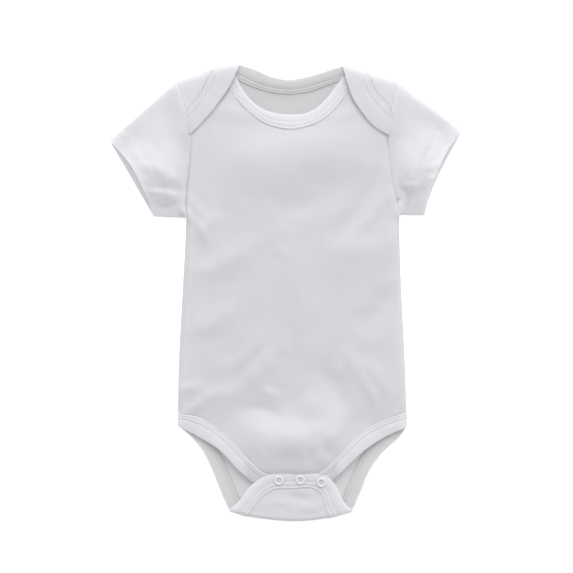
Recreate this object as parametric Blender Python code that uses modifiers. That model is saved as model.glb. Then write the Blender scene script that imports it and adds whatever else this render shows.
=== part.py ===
"""A baby's short-sleeved bodysuit in white cotton knit, laid flat, front up, its three crotch snaps closed.

Every table is in millimetres. X runs across the garment, Y from the crotch to the neck, Z up from the surface
it lies on. Each panel is an open sheet at the middle of its cloth, given its wall by a Solidify modifier. Panels
and sleeves share one height for a layer at each place, so that they meet at their seams.
"""

import math

import bmesh
import bpy
import numpy as np

MM = 0.001  # metres in a millimetre

# Cloth and trim.
CLOTH = 1.2  # wall of the knit
BINDING = 2.2  # folded binding, laid over an edge
HEM_WALL = 2.2  # the sleeve's hem, turned up once
HEM_DEPTH = 16.0
SEAM_GAP = 0.5  # left between two pieces where they are sewn together
SIDE_GAP = 0.85  # the same at a side seam, where the edges stand on each other
UNDERARM_GAP, UNDERARM_REACH = 0.6, 5.0  # added at the underarm, where the sleeve starts beside the side seam

# Heights of the middle of each layer.
BACK_Z = CLOTH / 2
SEAM_Z = 3.7  # a folded edge or a side seam, at its outermost
EDGE_REACH = 7.0  # cloth has its full height this far in from such an edge
LAP_RISE = 2.15  # shoulder lap over the front panel
TAB_Z = 6.6  # front crotch band, under the flap
FLAP_Z = 10.6  # flap over that band
FLAP_FOOT_Z = 8.8  # flap next to the crotch fold
FLAP_FOOT_Y, FLAP_RISE = -194.0, 18.0  # the flap climbs from its foot over this length
FRONT_BAND_END_Z = 5.0  # front leg binding at the side seam
BACK_BAND_END_Z = 2.4  # back leg binding at the side seam
HEM_LOFT, HEM_CROWN = 8.2, 1.0  # upper layer of a sleeve at its hem, and how much more at mid-width
SLEEVE_RISE, SLEEVE_RISE_Y, SLEEVE_RISE_RUN = 1.3, 128.0, 26.0  # upper layer next to a lap
NECK_BAND_LIFT = 0.2  # front neck binding over the cloth it edges
NECK_TUCK, NECK_TUCK_Y, NECK_TUCK_RUN = 0.9, 164.0, 14.0  # how far it goes down under the laps

# Sizes of the grids, in millimetres between points.
FRONT_COLUMN, FRONT_ROW = 9.0, 9.5
BACK_COLUMN, BACK_ROW = 11.5, 19.0
SLEEVE_AROUND, SLEEVE_ALONG = 8, 5
BAND_STEP = 6.0
ROLL_ANGLES = (0, 35, 62, 90)  # degrees round a rolled edge that get a row of points
UNDERARM_ROWS = (7.0, 3.5, 1.2, 0.0)  # rows this far above the underarm
LAP_ROWS = (0.04, 0.14, 0.3, 0.52, 0.74, 0.92)  # shares of the way from a shoulder fold to the lap's end
FLAP_ROWS = (0.04, 0.14, 0.3, 0.53, 0.77, 1.0)  # shares of the way from the crotch fold to the flap's top
FRONT_EDGE_ROLL = 1.5  # close rows at the front panel's top and bottom
SLEEVE_ROLL = 0.055  # share of a sleeve's half width that rolls over at its folds
HEM_STEP = 0.3  # half the length over which the wall grows to the hem's
WELD = 1e-7  # metres within which points are one
SNAP_WELD = 1e-5
NECK_ROLL, CROTCH_ROLL = (2.0, 5.5), (1.3, 3.6)  # extra columns of the back, next to the ends of its folds
LEAST_LEAN = 0.35  # a binding that crosses a fold at a slant starts further along it, up to this limit

# Lines on the flat garment, as rows of x, y. Lines across run from left to right, every other line downwards.
SHOULDER_FOLD_LEFT = [(-95.0, 184.3), (-63.7, 195.4)]
SHOULDER_FOLD_RIGHT = [(71.0, 192.0), (96.5, 184.4)]
NECK_PEAK_LEFT, NECK_PEAK_RIGHT = (-40.2, 199.4), (49.2, 198.4)
BACK_NECK_SEAM = [
    (-63.7, 195.4), (-43.5, 186.5), (-29.5, 180.0), (-17.0, 176.0), (2.0, 173.5), (21.5, 176.0),
    (35.5, 181.0), (53.0, 187.0), (71.0, 192.0),
]
BACK_NECK_EDGE = [
    (-40.2, 199.4), (-26.0, 195.0), (-12.0, 189.0), (2.0, 186.5), (16.5, 188.5), (30.5, 192.5),
    (49.2, 198.4),
]
LAP_SEAM_LEFT = [
    (-63.7, 195.4), (-67.0, 188.5), (-70.5, 181.0), (-75.0, 173.0), (-80.0, 165.5), (-87.0, 158.0),
]
LAP_EDGE_LEFT = [
    (-40.2, 199.4), (-47.0, 184.0), (-52.5, 174.5), (-58.5, 166.0), (-65.5, 156.5), (-74.5, 146.5),
    (-83.0, 137.8),
]
LAP_SEAM_RIGHT = [(71.0, 192.0), (74.5, 183.0), (79.5, 173.5), (86.0, 166.0), (91.9, 159.5)]
LAP_EDGE_RIGHT = [(49.2, 198.4), (55.0, 182.0), (59.0, 171.5), (67.5, 158.5), (78.5, 144.5), (89.4, 138.0)]
FRONT_TAB_LEFT = [(-92.7, 177.4), (-57.0, 187.6)]
FRONT_TAB_RIGHT = [(62.4, 187.2), (95.2, 177.8)]
FRONT_NECK_SEAM = [
    (-57.0, 187.6), (-49.5, 180.0), (-41.0, 169.0), (-30.0, 158.0), (-20.0, 151.0), (-7.0, 146.5),
    (4.5, 145.0), (16.5, 147.0), (30.0, 152.0), (39.0, 158.5), (47.5, 168.0), (55.0, 177.5),
    (62.4, 187.2),
]
FRONT_NECK_EDGE = [
    (-44.5, 192.0), (-36.5, 177.5), (-28.0, 168.0), (-18.0, 162.0), (-7.0, 159.0), (5.0, 158.0),
    (16.5, 159.0), (27.5, 164.5), (35.0, 171.5), (41.0, 179.0), (50.0, 190.5),
]
ARMHOLE_FRONT_LEFT = [
    (-95.0, 184.3), (-90.5, 170.5), (-87.0, 158.5), (-84.5, 145.5), (-83.0, 137.0), (-83.0, 124.5),
    (-84.5, 99.0), (-86.0, 83.0), (-86.4, 65.8),
]
ARMHOLE_FRONT_RIGHT = [
    (96.5, 184.4), (94.0, 170.5), (92.0, 158.5), (90.5, 145.5), (89.5, 137.0), (89.5, 124.5),
    (90.5, 109.5), (94.5, 87.0), (98.4, 68.6),
]
ARMHOLE_BACK_LEFT = [
    (-95.0, 184.3), (-89.0, 165.0), (-86.0, 145.0), (-85.0, 125.0), (-85.5, 85.0), (-86.4, 65.8),
]
ARMHOLE_BACK_RIGHT = [
    (96.5, 184.4), (93.5, 165.0), (91.5, 145.0), (91.5, 125.0), (94.5, 87.0), (98.4, 68.6),
]
SIDE_LEFT = [(-86.4, 65.8), (-88.4, 25.0), (-90.4, -10.0), (-93.0, -60.0), (-94.0, -106.5)]
SIDE_RIGHT = [(98.4, 68.6), (99.4, 25.0), (100.9, -10.0), (103.4, -60.0), (105.0, -105.0)]
LEG_CORNER_LEFT, LEG_CORNER_RIGHT = (-94.4, -116.5), (105.4, -117.5)
FRONT_LEG_SEAM = [
    (-94.0, -106.5), (-84.0, -107.0), (-74.5, -109.5), (-65.5, -115.0), (-45.0, -131.5),
    (-29.0, -149.5), (-18.0, -157.5), (-7.0, -159.6), (5.5, -160.0), (18.0, -159.6), (29.0, -157.5),
    (38.5, -150.0), (54.5, -132.5), (72.0, -118.0), (83.0, -112.5), (105.0, -105.0),
]
FRONT_LEG_EDGE = [
    (-94.4, -116.5), (-77.5, -125.5), (-60.0, -136.0), (-42.5, -153.5), (-26.0, -168.0),
    (-12.0, -172.5), (5.5, -173.0), (23.0, -172.5), (36.5, -167.0), (53.0, -152.0), (69.5, -137.0),
    (87.0, -126.0), (105.4, -117.5),
]
BACK_LEG_SEAM_LEFT = [(-94.0, -106.5), (-83.0, -109.0), (-74.5, -116.0), (-58.5, -137.5), (-49.0, -159.0),
                      (-39.5, -181.5), (-34.0, -195.0)]
BACK_LEG_SEAM_RIGHT = [(38.0, -196.4), (48.5, -181.0), (57.5, -159.0), (67.5, -140.0), (83.0, -121.0),
                       (92.0, -112.5), (105.0, -105.0)]
BACK_LEG_EDGE_LEFT = [(-94.4, -116.5), (-87.5, -122.0), (-74.5, -136.0), (-65.5, -153.5), (-57.0, -174.5),
                      (-50.0, -190.0)]
BACK_LEG_EDGE_RIGHT = [(58.5, -190.6), (65.5, -174.5), (74.5, -153.5), (85.0, -139.5), (100.0, -125.5),
                       (105.4, -117.5)]
CROTCH_FOLD = [(-34.0, -195.0), (-20.5, -197.0), (5.5, -199.2), (20.0, -198.7), (38.0, -196.4)]
FLAP_SEAM = [
    (-34.0, -195.0), (-26.0, -185.0), (-20.5, -178.0), (-13.5, -173.0), (5.5, -171.0), (26.0, -172.0),
    (31.0, -176.0), (34.0, -186.0), (38.0, -196.4),
]
FLAP_CORNER_LEFT, FLAP_CORNER_RIGHT = (-13.5, -173.0), (26.0, -172.0)
FLAP_EDGE = [
    (-50.0, -190.0), (-39.5, -180.0), (-33.0, -170.5), (-26.0, -164.5), (-19.0, -160.0),
    (-10.0, -157.5), (13.0, -156.0), (23.5, -157.0), (35.5, -159.8), (44.0, -169.0), (51.0, -183.0),
    (58.5, -190.6),
]
SLEEVE_FOLD_LEFT = [(-95.0, 184.3), (-107.6, 175.9), (-120.6, 164.4), (-133.0, 154.0), (-153.8, 132.2)]
SLEEVE_FOLD_RIGHT = [(96.5, 184.4), (111.6, 173.4), (124.1, 164.4), (138.0, 154.0), (153.4, 141.0)]
UNDERARM_LEFT = [(-86.4, 65.8), (-101.0, 66.6), (-116.3, 67.7)]
UNDERARM_RIGHT = [(98.4, 68.6), (110.0, 68.3), (121.3, 68.6)]
HEM_BACK_LEFT = [(-153.8, 132.2), (-116.3, 67.7)]
HEM_FRONT_LEFT = [
    (-153.8, 132.2), (-145.5, 123.5), (-134.0, 109.0), (-126.0, 93.5), (-119.5, 79.5), (-116.3, 67.7),
]
HEM_BACK_RIGHT = [(153.4, 141.0), (126.0, 84.5), (121.3, 68.6)]
HEM_FRONT_RIGHT = [(153.4, 141.0), (141.0, 124.0), (133.0, 108.0), (127.5, 92.0), (121.3, 68.6)]

# Height of the front panel's middle along Y: near a side seam, and on the centre line.
FRONT_LOFT = [  # y, side, centre
    (200.0, 8.0, 7.6),
    (178.0, 8.3, 8.0),
    (150.0, 9.0, 9.2),
    (120.0, 9.8, 11.4),
    (70.0, 10.4, 13.0),
    (0.0, 10.6, 13.6),
    (-60.0, 10.6, 13.8),
    (-110.0, 9.8, 13.0),
    (-132.0, 9.0, 11.4),
    (-150.0, 7.6, 8.8),
    (-180.0, 7.0, 7.0),
]
TAB_FLAT_Y, TAB_RISE = -155.0, 10.0  # from here down the front is level, so that the snaps sit flat
CENTRE_X, HALF_WIDTH = 5.0, 96.0

# Soft folds of the front panel: a ridge is higher than the cloth round it, a trough lower.
FOLD_OVERRUN, FOLD_FADE = 0.15, 0.4  # shares of a fold's length, past its ends and over which it fades out
FRONT_FOLDS = [  # x from, y from, x to, y to, half width, height
    (-36.0, 132.0, -20.0, 118.0, 9.0, 1.2),
    (36.0, 124.0, 58.0, 104.0, 10.0, -1.6),
    (-2.0, 90.0, 22.0, 76.0, 10.0, -2.0),
    (-40.0, 60.0, -34.0, 10.0, 11.0, -1.4),
    (46.0, 46.0, 82.0, -6.0, 13.0, -1.8),
    (70.0, -18.0, 78.0, -34.0, 8.0, -1.3),
    (-10.0, -42.0, -66.0, -96.0, 8.0, 2.2),
    (-44.0, -84.0, -86.0, -112.0, 7.0, 1.5),
    (-88.0, -74.0, -94.0, -84.0, 7.0, 1.0),
    (-30.0, -108.0, 66.0, -112.0, 11.0, 2.3),
    (-16.0, -90.0, 44.0, -88.0, 8.0, 1.2),
    (-26.0, -134.0, 38.0, -136.0, 8.0, -1.6),
    (28.0, -140.0, 34.0, -146.0, 6.0, 0.8),
    (8.0, 30.0, 12.0, -28.0, 12.0, 1.1),
    (-72.0, 92.0, -56.0, 40.0, 10.0, 1.2),
    (84.0, 84.0, 66.0, 62.0, 8.0, 1.2),
]
SLEEVE_FOLDS_LEFT = [
    (-92.0, 118.0, -132.0, 112.0, 6.0, -1.6),
    (-94.0, 134.0, -136.0, 130.0, 8.0, 1.6),
    (-90.0, 98.0, -126.0, 88.0, 8.0, 1.4),
    (-100.0, 164.0, -124.0, 150.0, 8.0, 0.8),
]
SLEEVE_FOLDS_RIGHT = [
    (98.0, 150.0, 132.0, 136.0, 9.0, 1.2),
    (96.0, 112.0, 132.0, 110.0, 7.0, -1.4),
    (97.0, 96.0, 118.0, 84.0, 7.0, 1.5),
    (98.0, 130.0, 128.0, 124.0, 7.0, 0.9),
]

SLEEVES = {  # front and back armhole, front and back hem, folds
    "sleeve_left": (
        ARMHOLE_FRONT_LEFT, ARMHOLE_BACK_LEFT, HEM_FRONT_LEFT, HEM_BACK_LEFT, SLEEVE_FOLDS_LEFT,
    ),
    "sleeve_right": (
        ARMHOLE_FRONT_RIGHT, ARMHOLE_BACK_RIGHT, HEM_FRONT_RIGHT, HEM_BACK_RIGHT, SLEEVE_FOLDS_RIGHT,
    ),
}

# Snaps: centres on the crotch band, then the sizes that the three share.
SNAP_CENTRES = [("left", -6.2, -163.6), ("middle", 12.6, -163.2), ("right", 31.0, -165.4)]
SNAP_RADIUS, SNAP_BORE = 4.4, 2.2
CAP_HEIGHT = 0.9
SNAP_CLEARANCE = 0.15
STUD_HEAD, STUD_BASE = 1.6, 0.5
SOCKET_HEIGHT = 0.7
SNAP_SOFT = 0.3  # softened edge of a snap's pieces
SNAP_SIDES = 14

# Base colour and roughness of each finish.
FINISHES = {
    "white_knit": ((0.86, 0.86, 0.88), 0.9),
    "white_binding": ((0.88, 0.88, 0.9), 0.85),
    "white_snap": ((0.85, 0.85, 0.86), 0.35),
}


def hermite(knots, values, at):
    """Values at these places, on smooth cubic pieces through the knots."""
    slope = np.gradient(values, knots, axis=0)
    if len(knots) == 2:
        slope[:] = (values[1] - values[0]) / (knots[1] - knots[0])
    left = np.clip(np.searchsorted(knots, at, side="right") - 1, 0, len(knots) - 2)
    width = (knots[left + 1] - knots[left])[..., None]
    t = np.clip((at - knots[left])[..., None] / width, 0.0, 1.0)
    near = (2 * t**3 - 3 * t**2 + 1) * values[left] + (t**3 - 2 * t**2 + t) * width * slope[left]
    far = (3 * t**2 - 2 * t**3) * values[left + 1] + (t**3 - t**2) * width * slope[left + 1]
    return near + far


def curve(rows, step=1.0):
    """A smooth line through the rows, as points about one step apart. Two rows give a straight line."""
    rows = np.array(rows, float)
    chord = np.concatenate([[0.0], np.cumsum(np.hypot(*np.diff(rows, axis=0).T))])
    return hermite(chord, rows, np.linspace(0.0, chord[-1], max(2, int(chord[-1] / step) + 1)))


def joined(*lines):
    """Several lines end to end, each corner kept sharp."""
    parts = [curve(lines[0])]
    for line in lines[1:]:
        parts.append(curve(line)[1:])
    return np.concatenate(parts)


def lengths(line):
    return np.concatenate([[0.0], np.cumsum(np.linalg.norm(np.diff(line, axis=0), axis=1))])


def along(line, share):
    """Points at these shares of a line's length."""
    run = lengths(line)
    at = np.asarray(share) * run[-1]
    return np.stack([np.interp(at, run, line[:, k]) for k in range(line.shape[1])], axis=-1)


def smooth_step(value):
    t = np.clip(value, 0.0, 1.0)
    return t * t * (3 - 2 * t)


def distance_to(x, y, line):
    """Distance in the plane from each point to a line of points."""
    point = np.stack([x, y], axis=-1)[..., None, :]
    start, end = line[:-1], line[1:]
    span = end - start
    t = np.clip(((point - start) * span).sum(-1) / np.maximum((span * span).sum(-1), 1e-9), 0.0, 1.0)
    return np.linalg.norm(point - (start + t[..., None] * span), axis=-1).min(axis=-1)


def edge_rise(distance):
    """Share of its full height that a layer has this far from a folded edge: a quarter of an ellipse."""
    return np.sqrt(1 - (1 - np.clip(distance / EDGE_REACH, 0.0, 1.0)) ** 2)


SIDES = [
    np.concatenate([curve(UNDERARM_LEFT)[::-1], curve(SIDE_LEFT), [LEG_CORNER_LEFT]]),
    np.concatenate([curve(UNDERARM_RIGHT)[::-1], curve(SIDE_RIGHT), [LEG_CORNER_RIGHT]]),
]
SHOULDERS = [
    np.concatenate([curve(SLEEVE_FOLD_LEFT)[::-1], curve(SHOULDER_FOLD_LEFT), [NECK_PEAK_LEFT]]),
    np.concatenate([[NECK_PEAK_RIGHT], curve(SHOULDER_FOLD_RIGHT), curve(SLEEVE_FOLD_RIGHT)]),
]
CROTCH = np.concatenate([[BACK_LEG_EDGE_LEFT[-1]], curve(CROTCH_FOLD), [BACK_LEG_EDGE_RIGHT[0]]])


def nearest(x, y, lines):
    return np.min([distance_to(x, y, line) for line in lines], axis=0)


def folds(x, y, rows):
    """Height that the soft folds add at each place. A fold fades out over its last third at both ends."""
    total = np.zeros_like(x)
    for x_from, y_from, x_to, y_to, half_width, height in rows:
        run = math.hypot(x_to - x_from, y_to - y_from)
        unit_x, unit_y = (x_to - x_from) / run, (y_to - y_from) / run
        t = ((x - x_from) * unit_x + (y - y_from) * unit_y) / run
        across = (x - x_from) * -unit_y + (y - y_from) * unit_x
        start, end = (t + FOLD_OVERRUN) / FOLD_FADE, (1 + FOLD_OVERRUN - t) / FOLD_FADE
        fade = smooth_step(start) * smooth_step(end)
        total += height * np.exp(-((across / half_width) ** 2)) * fade
    return total


def front_height(x, y):
    """The front panel's middle, without the roll down to its side seams."""
    rows = np.array(FRONT_LOFT[::-1])
    heights = hermite(rows[:, 0], rows[:, 1:], y)
    share = 1 - np.clip(np.abs(x - CENTRE_X) / HALF_WIDTH, 0.0, 1.0) ** 2
    height = heights[..., 0] + (heights[..., 1] - heights[..., 0]) * share + folds(x, y, FRONT_FOLDS)
    return TAB_Z + (height - TAB_Z) * smooth_step((y - TAB_FLAT_Y) / TAB_RISE)


def front_z(x, y):
    low = SEAM_Z + SIDE_GAP / 2
    return low + (front_height(x, y) - low) * edge_rise(nearest(x, y, SIDES))


def back_z(x, y):
    at_side = (SEAM_Z - SIDE_GAP / 2 - BACK_Z) * (1 - edge_rise(nearest(x, y, SIDES)))
    at_fold = (SEAM_Z - BACK_Z) * (1 - edge_rise(nearest(x, y, SHOULDERS + [CROTCH])))
    return BACK_Z + np.maximum(at_side, at_fold)


def lap_z(x, y):
    return SEAM_Z + (front_height(x, y) + LAP_RISE - SEAM_Z) * edge_rise(nearest(x, y, SHOULDERS))


def flap_height(y):
    return FLAP_FOOT_Z + (FLAP_Z - FLAP_FOOT_Z) * smooth_step((y - FLAP_FOOT_Y) / FLAP_RISE)


def flap_z(x, y):
    return SEAM_Z + (flap_height(y) - SEAM_Z) * edge_rise(distance_to(x, y, CROTCH))


def back_band_z(x, y):
    """Middle of a binding that lies on the surface: at the folds it turns up with the cloth it edges."""
    flat = BINDING / 2
    at_fold = (SEAM_Z - flat) * (1 - edge_rise(nearest(x, y, SHOULDERS + [CROTCH])))
    at_side = (BACK_BAND_END_Z - flat) * (1 - edge_rise(nearest(x, y, SIDES)))
    return flat + np.maximum(at_fold, at_side)


def front_band_z(x, y):
    middle = front_height(x, y)
    return FRONT_BAND_END_Z + (middle - FRONT_BAND_END_Z) * edge_rise(nearest(x, y, SIDES))


def neck_band_z(x, y):
    return front_height(x, y) + NECK_BAND_LIFT - NECK_TUCK * smooth_step((y - NECK_TUCK_Y) / NECK_TUCK_RUN)


def shares(stops, spacing, edges):
    """Shares from 0 to 1 that hold every stop, at most the spacing apart, and close together at the ends."""
    roll = [edges * (1 - math.cos(math.radians(a))) for a in ROLL_ANGLES]
    marks = sorted(set(roll + [1 - r for r in roll] + [s for s in stops if 2 * edges < s < 1 - 2 * edges]))
    found = []
    for low, high in zip(marks, marks[1:]):
        count = max(1, math.ceil((high - low) / spacing - 1e-6))
        found.extend(np.linspace(low, high, count + 1)[:-1])
    return np.array(found + [1.0])


def side_points(armhole, side, top_y, bend, down):
    """A panel's side, with the underarm at the share called bend: points at these shares of the way down."""
    line = np.concatenate([curve(armhole), curve(side)[1:]])
    y = np.where(
        down < bend,
        top_y + (side[0][1] - top_y) * down / bend,
        side[0][1] + (side[-1][1] - side[0][1]) * (down - bend) / (1 - bend),
    )
    return np.stack([np.interp(y, line[::-1, 1], line[::-1, 0]), y], axis=-1)


def panel_plan(top, bottom, left, right, across, down):
    """Flat places of a panel's grid, from its four edges. Row 0 is the top edge, column 0 the left one."""
    top_x = top[0, 0] + (top[-1, 0] - top[0, 0]) * across
    bottom_x = bottom[0, 0] + (bottom[-1, 0] - bottom[0, 0]) * across
    top_row = np.stack([top_x, np.interp(top_x, top[:, 0], top[:, 1])], axis=-1)
    bottom_row = np.stack([bottom_x, np.interp(bottom_x, bottom[:, 0], bottom[:, 1])], axis=-1)
    u, v = across[None, :, None], down[:, None, None]
    between_rows = (1 - v) * top_row[None] + v * bottom_row[None]
    between_sides = (1 - u) * left[:, None] + u * right[:, None]
    upper = (1 - u) * top_row[0] + u * top_row[-1]
    lower = (1 - u) * bottom_row[0] + u * bottom_row[-1]
    return between_rows + between_sides - (1 - v) * upper - v * lower


def with_height(plan, height):
    return np.concatenate([plan, height(plan[..., 0], plan[..., 1])[..., None]], axis=-1)


def grid(mesh, points):
    """Adds one grid of faces to the mesh, at these points in millimetres."""
    rows, columns = points.shape[:2]
    made = bmesh.ops.create_grid(mesh, x_segments=rows - 1, y_segments=columns - 1, size=0.5)
    for vertex in made["verts"]:
        row = round((vertex.co.x + 0.5) * (rows - 1))
        column = round((vertex.co.y + 0.5) * (columns - 1))
        vertex.co = points[row, column] * MM


def finish(name):
    colour, roughness = FINISHES[name]
    made = bpy.data.materials.new(name)
    made.use_nodes = True
    shader = made.node_tree.nodes["Principled BSDF"]
    shader.inputs["Base Color"].default_value = (*colour, 1.0)
    shader.inputs["Roughness"].default_value = roughness
    return made


def place(name, mesh, look):
    """Turns a built mesh into a named object of the garment."""
    bmesh.ops.remove_doubles(mesh, verts=mesh.verts, dist=WELD)
    bmesh.ops.recalc_face_normals(mesh, faces=mesh.faces)
    data = bpy.data.meshes.new(name)
    mesh.to_mesh(data)
    mesh.free()
    data.shade_smooth()
    made = bpy.data.objects.new(name, data)
    made.data.materials.append(look)
    bpy.data.collections["bodysuit"].objects.link(made)
    return made


def wall(made, thickness):
    solid = made.modifiers.new("wall", "SOLIDIFY")
    solid.thickness = thickness * MM
    solid.offset = 0.0
    return solid


def build_front(look):
    top = joined(FRONT_TAB_LEFT, FRONT_NECK_SEAM, FRONT_TAB_RIGHT)
    bottom = curve(FRONT_LEG_SEAM)
    width = top[-1, 0] - top[0, 0]
    corners = [(FRONT_NECK_SEAM[0][0] - top[0, 0]) / width, (FRONT_NECK_SEAM[-1][0] - top[0, 0]) / width]
    across = shares(corners, FRONT_COLUMN / width, EDGE_REACH / width)
    height = FRONT_TAB_LEFT[0][1] - SIDE_LEFT[-1][1]
    bend = (FRONT_TAB_LEFT[0][1] - SIDE_LEFT[0][1]) / height
    rolls = [bend - d / height for d in UNDERARM_ROWS]
    down = shares(rolls, FRONT_ROW / height, FRONT_EDGE_ROLL / height)
    left = side_points(ARMHOLE_FRONT_LEFT, SIDE_LEFT, FRONT_TAB_LEFT[0][1], bend, down)
    right = side_points(ARMHOLE_FRONT_RIGHT, SIDE_RIGHT, FRONT_TAB_RIGHT[-1][1], bend, down)
    mesh = bmesh.new()
    points = with_height(panel_plan(top, bottom, left, right, across, down), front_z)
    grid(mesh, points)
    wall(place("front_body", mesh, look), CLOTH)
    neck_columns = [np.argmin(np.abs(across - share)) for share in corners]
    return {"neck": points[0, neck_columns[0] : neck_columns[1] + 1], "leg": points[-1]}


def lap_points(first_row, armhole, lap_seam):
    """The corner of a shoulder lap between its fold, the armhole and its binding. It ends in a point."""
    seam = curve(lap_seam)
    hole = curve(armhole)
    hole = hole[hole[:, 1] >= lap_seam[-1][1]]
    share = (first_row[:, 0] - first_row[0, 0]) / (first_row[-1, 0] - first_row[0, 0])
    rows = [first_row]
    for down in LAP_ROWS:
        outer, inner = along(hole, down), along(seam, down)
        start, end = (outer, inner) if armhole is ARMHOLE_FRONT_LEFT else (inner, outer)
        flat = start + (end - start) * share[:, None]
        rows.append(with_height(flat, lap_z))
    return np.array(rows)


def flap_points(first_row):
    seam = curve(FLAP_SEAM)
    left_end = np.argmin(np.linalg.norm(seam - FLAP_CORNER_LEFT, axis=1))
    right_end = np.argmin(np.linalg.norm(seam - FLAP_CORNER_RIGHT, axis=1))
    left, right, top = seam[: left_end + 1], seam[right_end:][::-1], seam[left_end : right_end + 1]
    share = (first_row[:, 0] - first_row[0, 0]) / (first_row[-1, 0] - first_row[0, 0])
    top_row = along(top, share)
    bow_high = top_row - (top_row[0] + (top_row[-1] - top_row[0]) * share[:, None])
    low = first_row[:, :2]
    bow_low = low - (low[0] + (low[-1] - low[0]) * share[:, None])
    rows = [first_row]
    for up in FLAP_ROWS:
        start, end = along(left, up), along(right, up)
        straight = start + (end - start) * share[:, None]
        rows.append(with_height(straight + bow_low * (1 - up) + bow_high * up, flap_z))
    return np.array(rows)


def build_back(look):
    """The back panel in one piece. It folds forward over each shoulder, and up over the front at the crotch."""
    top = joined(SHOULDER_FOLD_LEFT, BACK_NECK_SEAM, SHOULDER_FOLD_RIGHT)
    bottom = joined(BACK_LEG_SEAM_LEFT, CROTCH_FOLD, BACK_LEG_SEAM_RIGHT)
    top_width = top[-1, 0] - top[0, 0]
    bottom_width = bottom[-1, 0] - bottom[0, 0]
    neck = [(BACK_NECK_SEAM[k][0] - top[0, 0]) / top_width for k in (0, -1)]
    crotch = [(CROTCH_FOLD[k][0] - bottom[0, 0]) / bottom_width for k in (0, -1)]
    at_folds = [neck[0] + d / top_width for d in NECK_ROLL] + [neck[1] - d / top_width for d in NECK_ROLL]
    at_folds += [crotch[0] - d / bottom_width for d in CROTCH_ROLL]
    at_folds += [crotch[1] + d / bottom_width for d in CROTCH_ROLL]
    across = shares(neck + crotch + at_folds, BACK_COLUMN / top_width, EDGE_REACH / top_width)
    height = SHOULDER_FOLD_LEFT[0][1] - SIDE_LEFT[-1][1]
    bend = (SHOULDER_FOLD_LEFT[0][1] - SIDE_LEFT[0][1]) / height
    rolls = [bend - d / height for d in UNDERARM_ROWS]
    down = shares(rolls, BACK_ROW / height, EDGE_REACH / height)
    left = side_points(ARMHOLE_BACK_LEFT, SIDE_LEFT, SHOULDER_FOLD_LEFT[0][1], bend, down)
    right = side_points(ARMHOLE_BACK_RIGHT, SIDE_RIGHT, SHOULDER_FOLD_RIGHT[-1][1], bend, down)
    sheet = with_height(panel_plan(top, bottom, left, right, across, down), back_z)
    neck_columns = [np.argmin(np.abs(across - share)) for share in neck]
    crotch_columns = [np.argmin(np.abs(across - share)) for share in crotch]
    mesh = bmesh.new()
    lap_left = lap_points(sheet[0, : neck_columns[0] + 1], ARMHOLE_FRONT_LEFT, LAP_SEAM_LEFT)
    lap_right = lap_points(sheet[0, neck_columns[1] :], ARMHOLE_FRONT_RIGHT, LAP_SEAM_RIGHT)
    flap = flap_points(sheet[-1, crotch_columns[0] : crotch_columns[1] + 1])
    for points in (sheet, lap_left, lap_right, flap):
        grid(mesh, points)
    wall(place("back_body", mesh, look), CLOTH)
    return {
        "lap_left": np.concatenate([lap_left[:, -1, :2], LAP_SEAM_LEFT[-1:]])[::-1],
        "neck": sheet[0, neck_columns[0] : neck_columns[1] + 1],
        "lap_right": np.concatenate([lap_right[:, 0, :2], LAP_SEAM_RIGHT[-1:]]),
        "leg_left": sheet[-1, : crotch_columns[0] + 1],
        "flap": np.concatenate([flap[:, 0], flap[-1, 1:-1], flap[::-1, -1]]),
        "leg_right": sheet[-1, crotch_columns[1] :],
    }


def sleeve_layer(armhole, hem, around, distances):
    """Flat places of one layer, from armhole to hem. Shares around run from the underarm to the top fold."""
    inner, outer = along(armhole, around), along(hem, around)
    run = np.linalg.norm(outer - inner, axis=1)
    unit = (outer - inner) / run[:, None]
    from_underarm = around * lengths(armhole)[-1]
    gap = SEAM_GAP + UNDERARM_GAP * np.exp(-((from_underarm / UNDERARM_REACH) ** 2))
    inner = inner + unit * gap[:, None]
    run = run - gap
    rows = []
    for share in np.linspace(0.0, 1.0, distances + 1)[:-1]:
        rows.append((run - HEM_DEPTH - HEM_STEP) * share)
    for left_over in (HEM_DEPTH + HEM_STEP, HEM_DEPTH - HEM_STEP, HEM_DEPTH / 2, 0.0):
        rows.append(run - left_over)
    return np.array([inner + unit * row[:, None] for row in rows]), np.array([row / run for row in rows])


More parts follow.
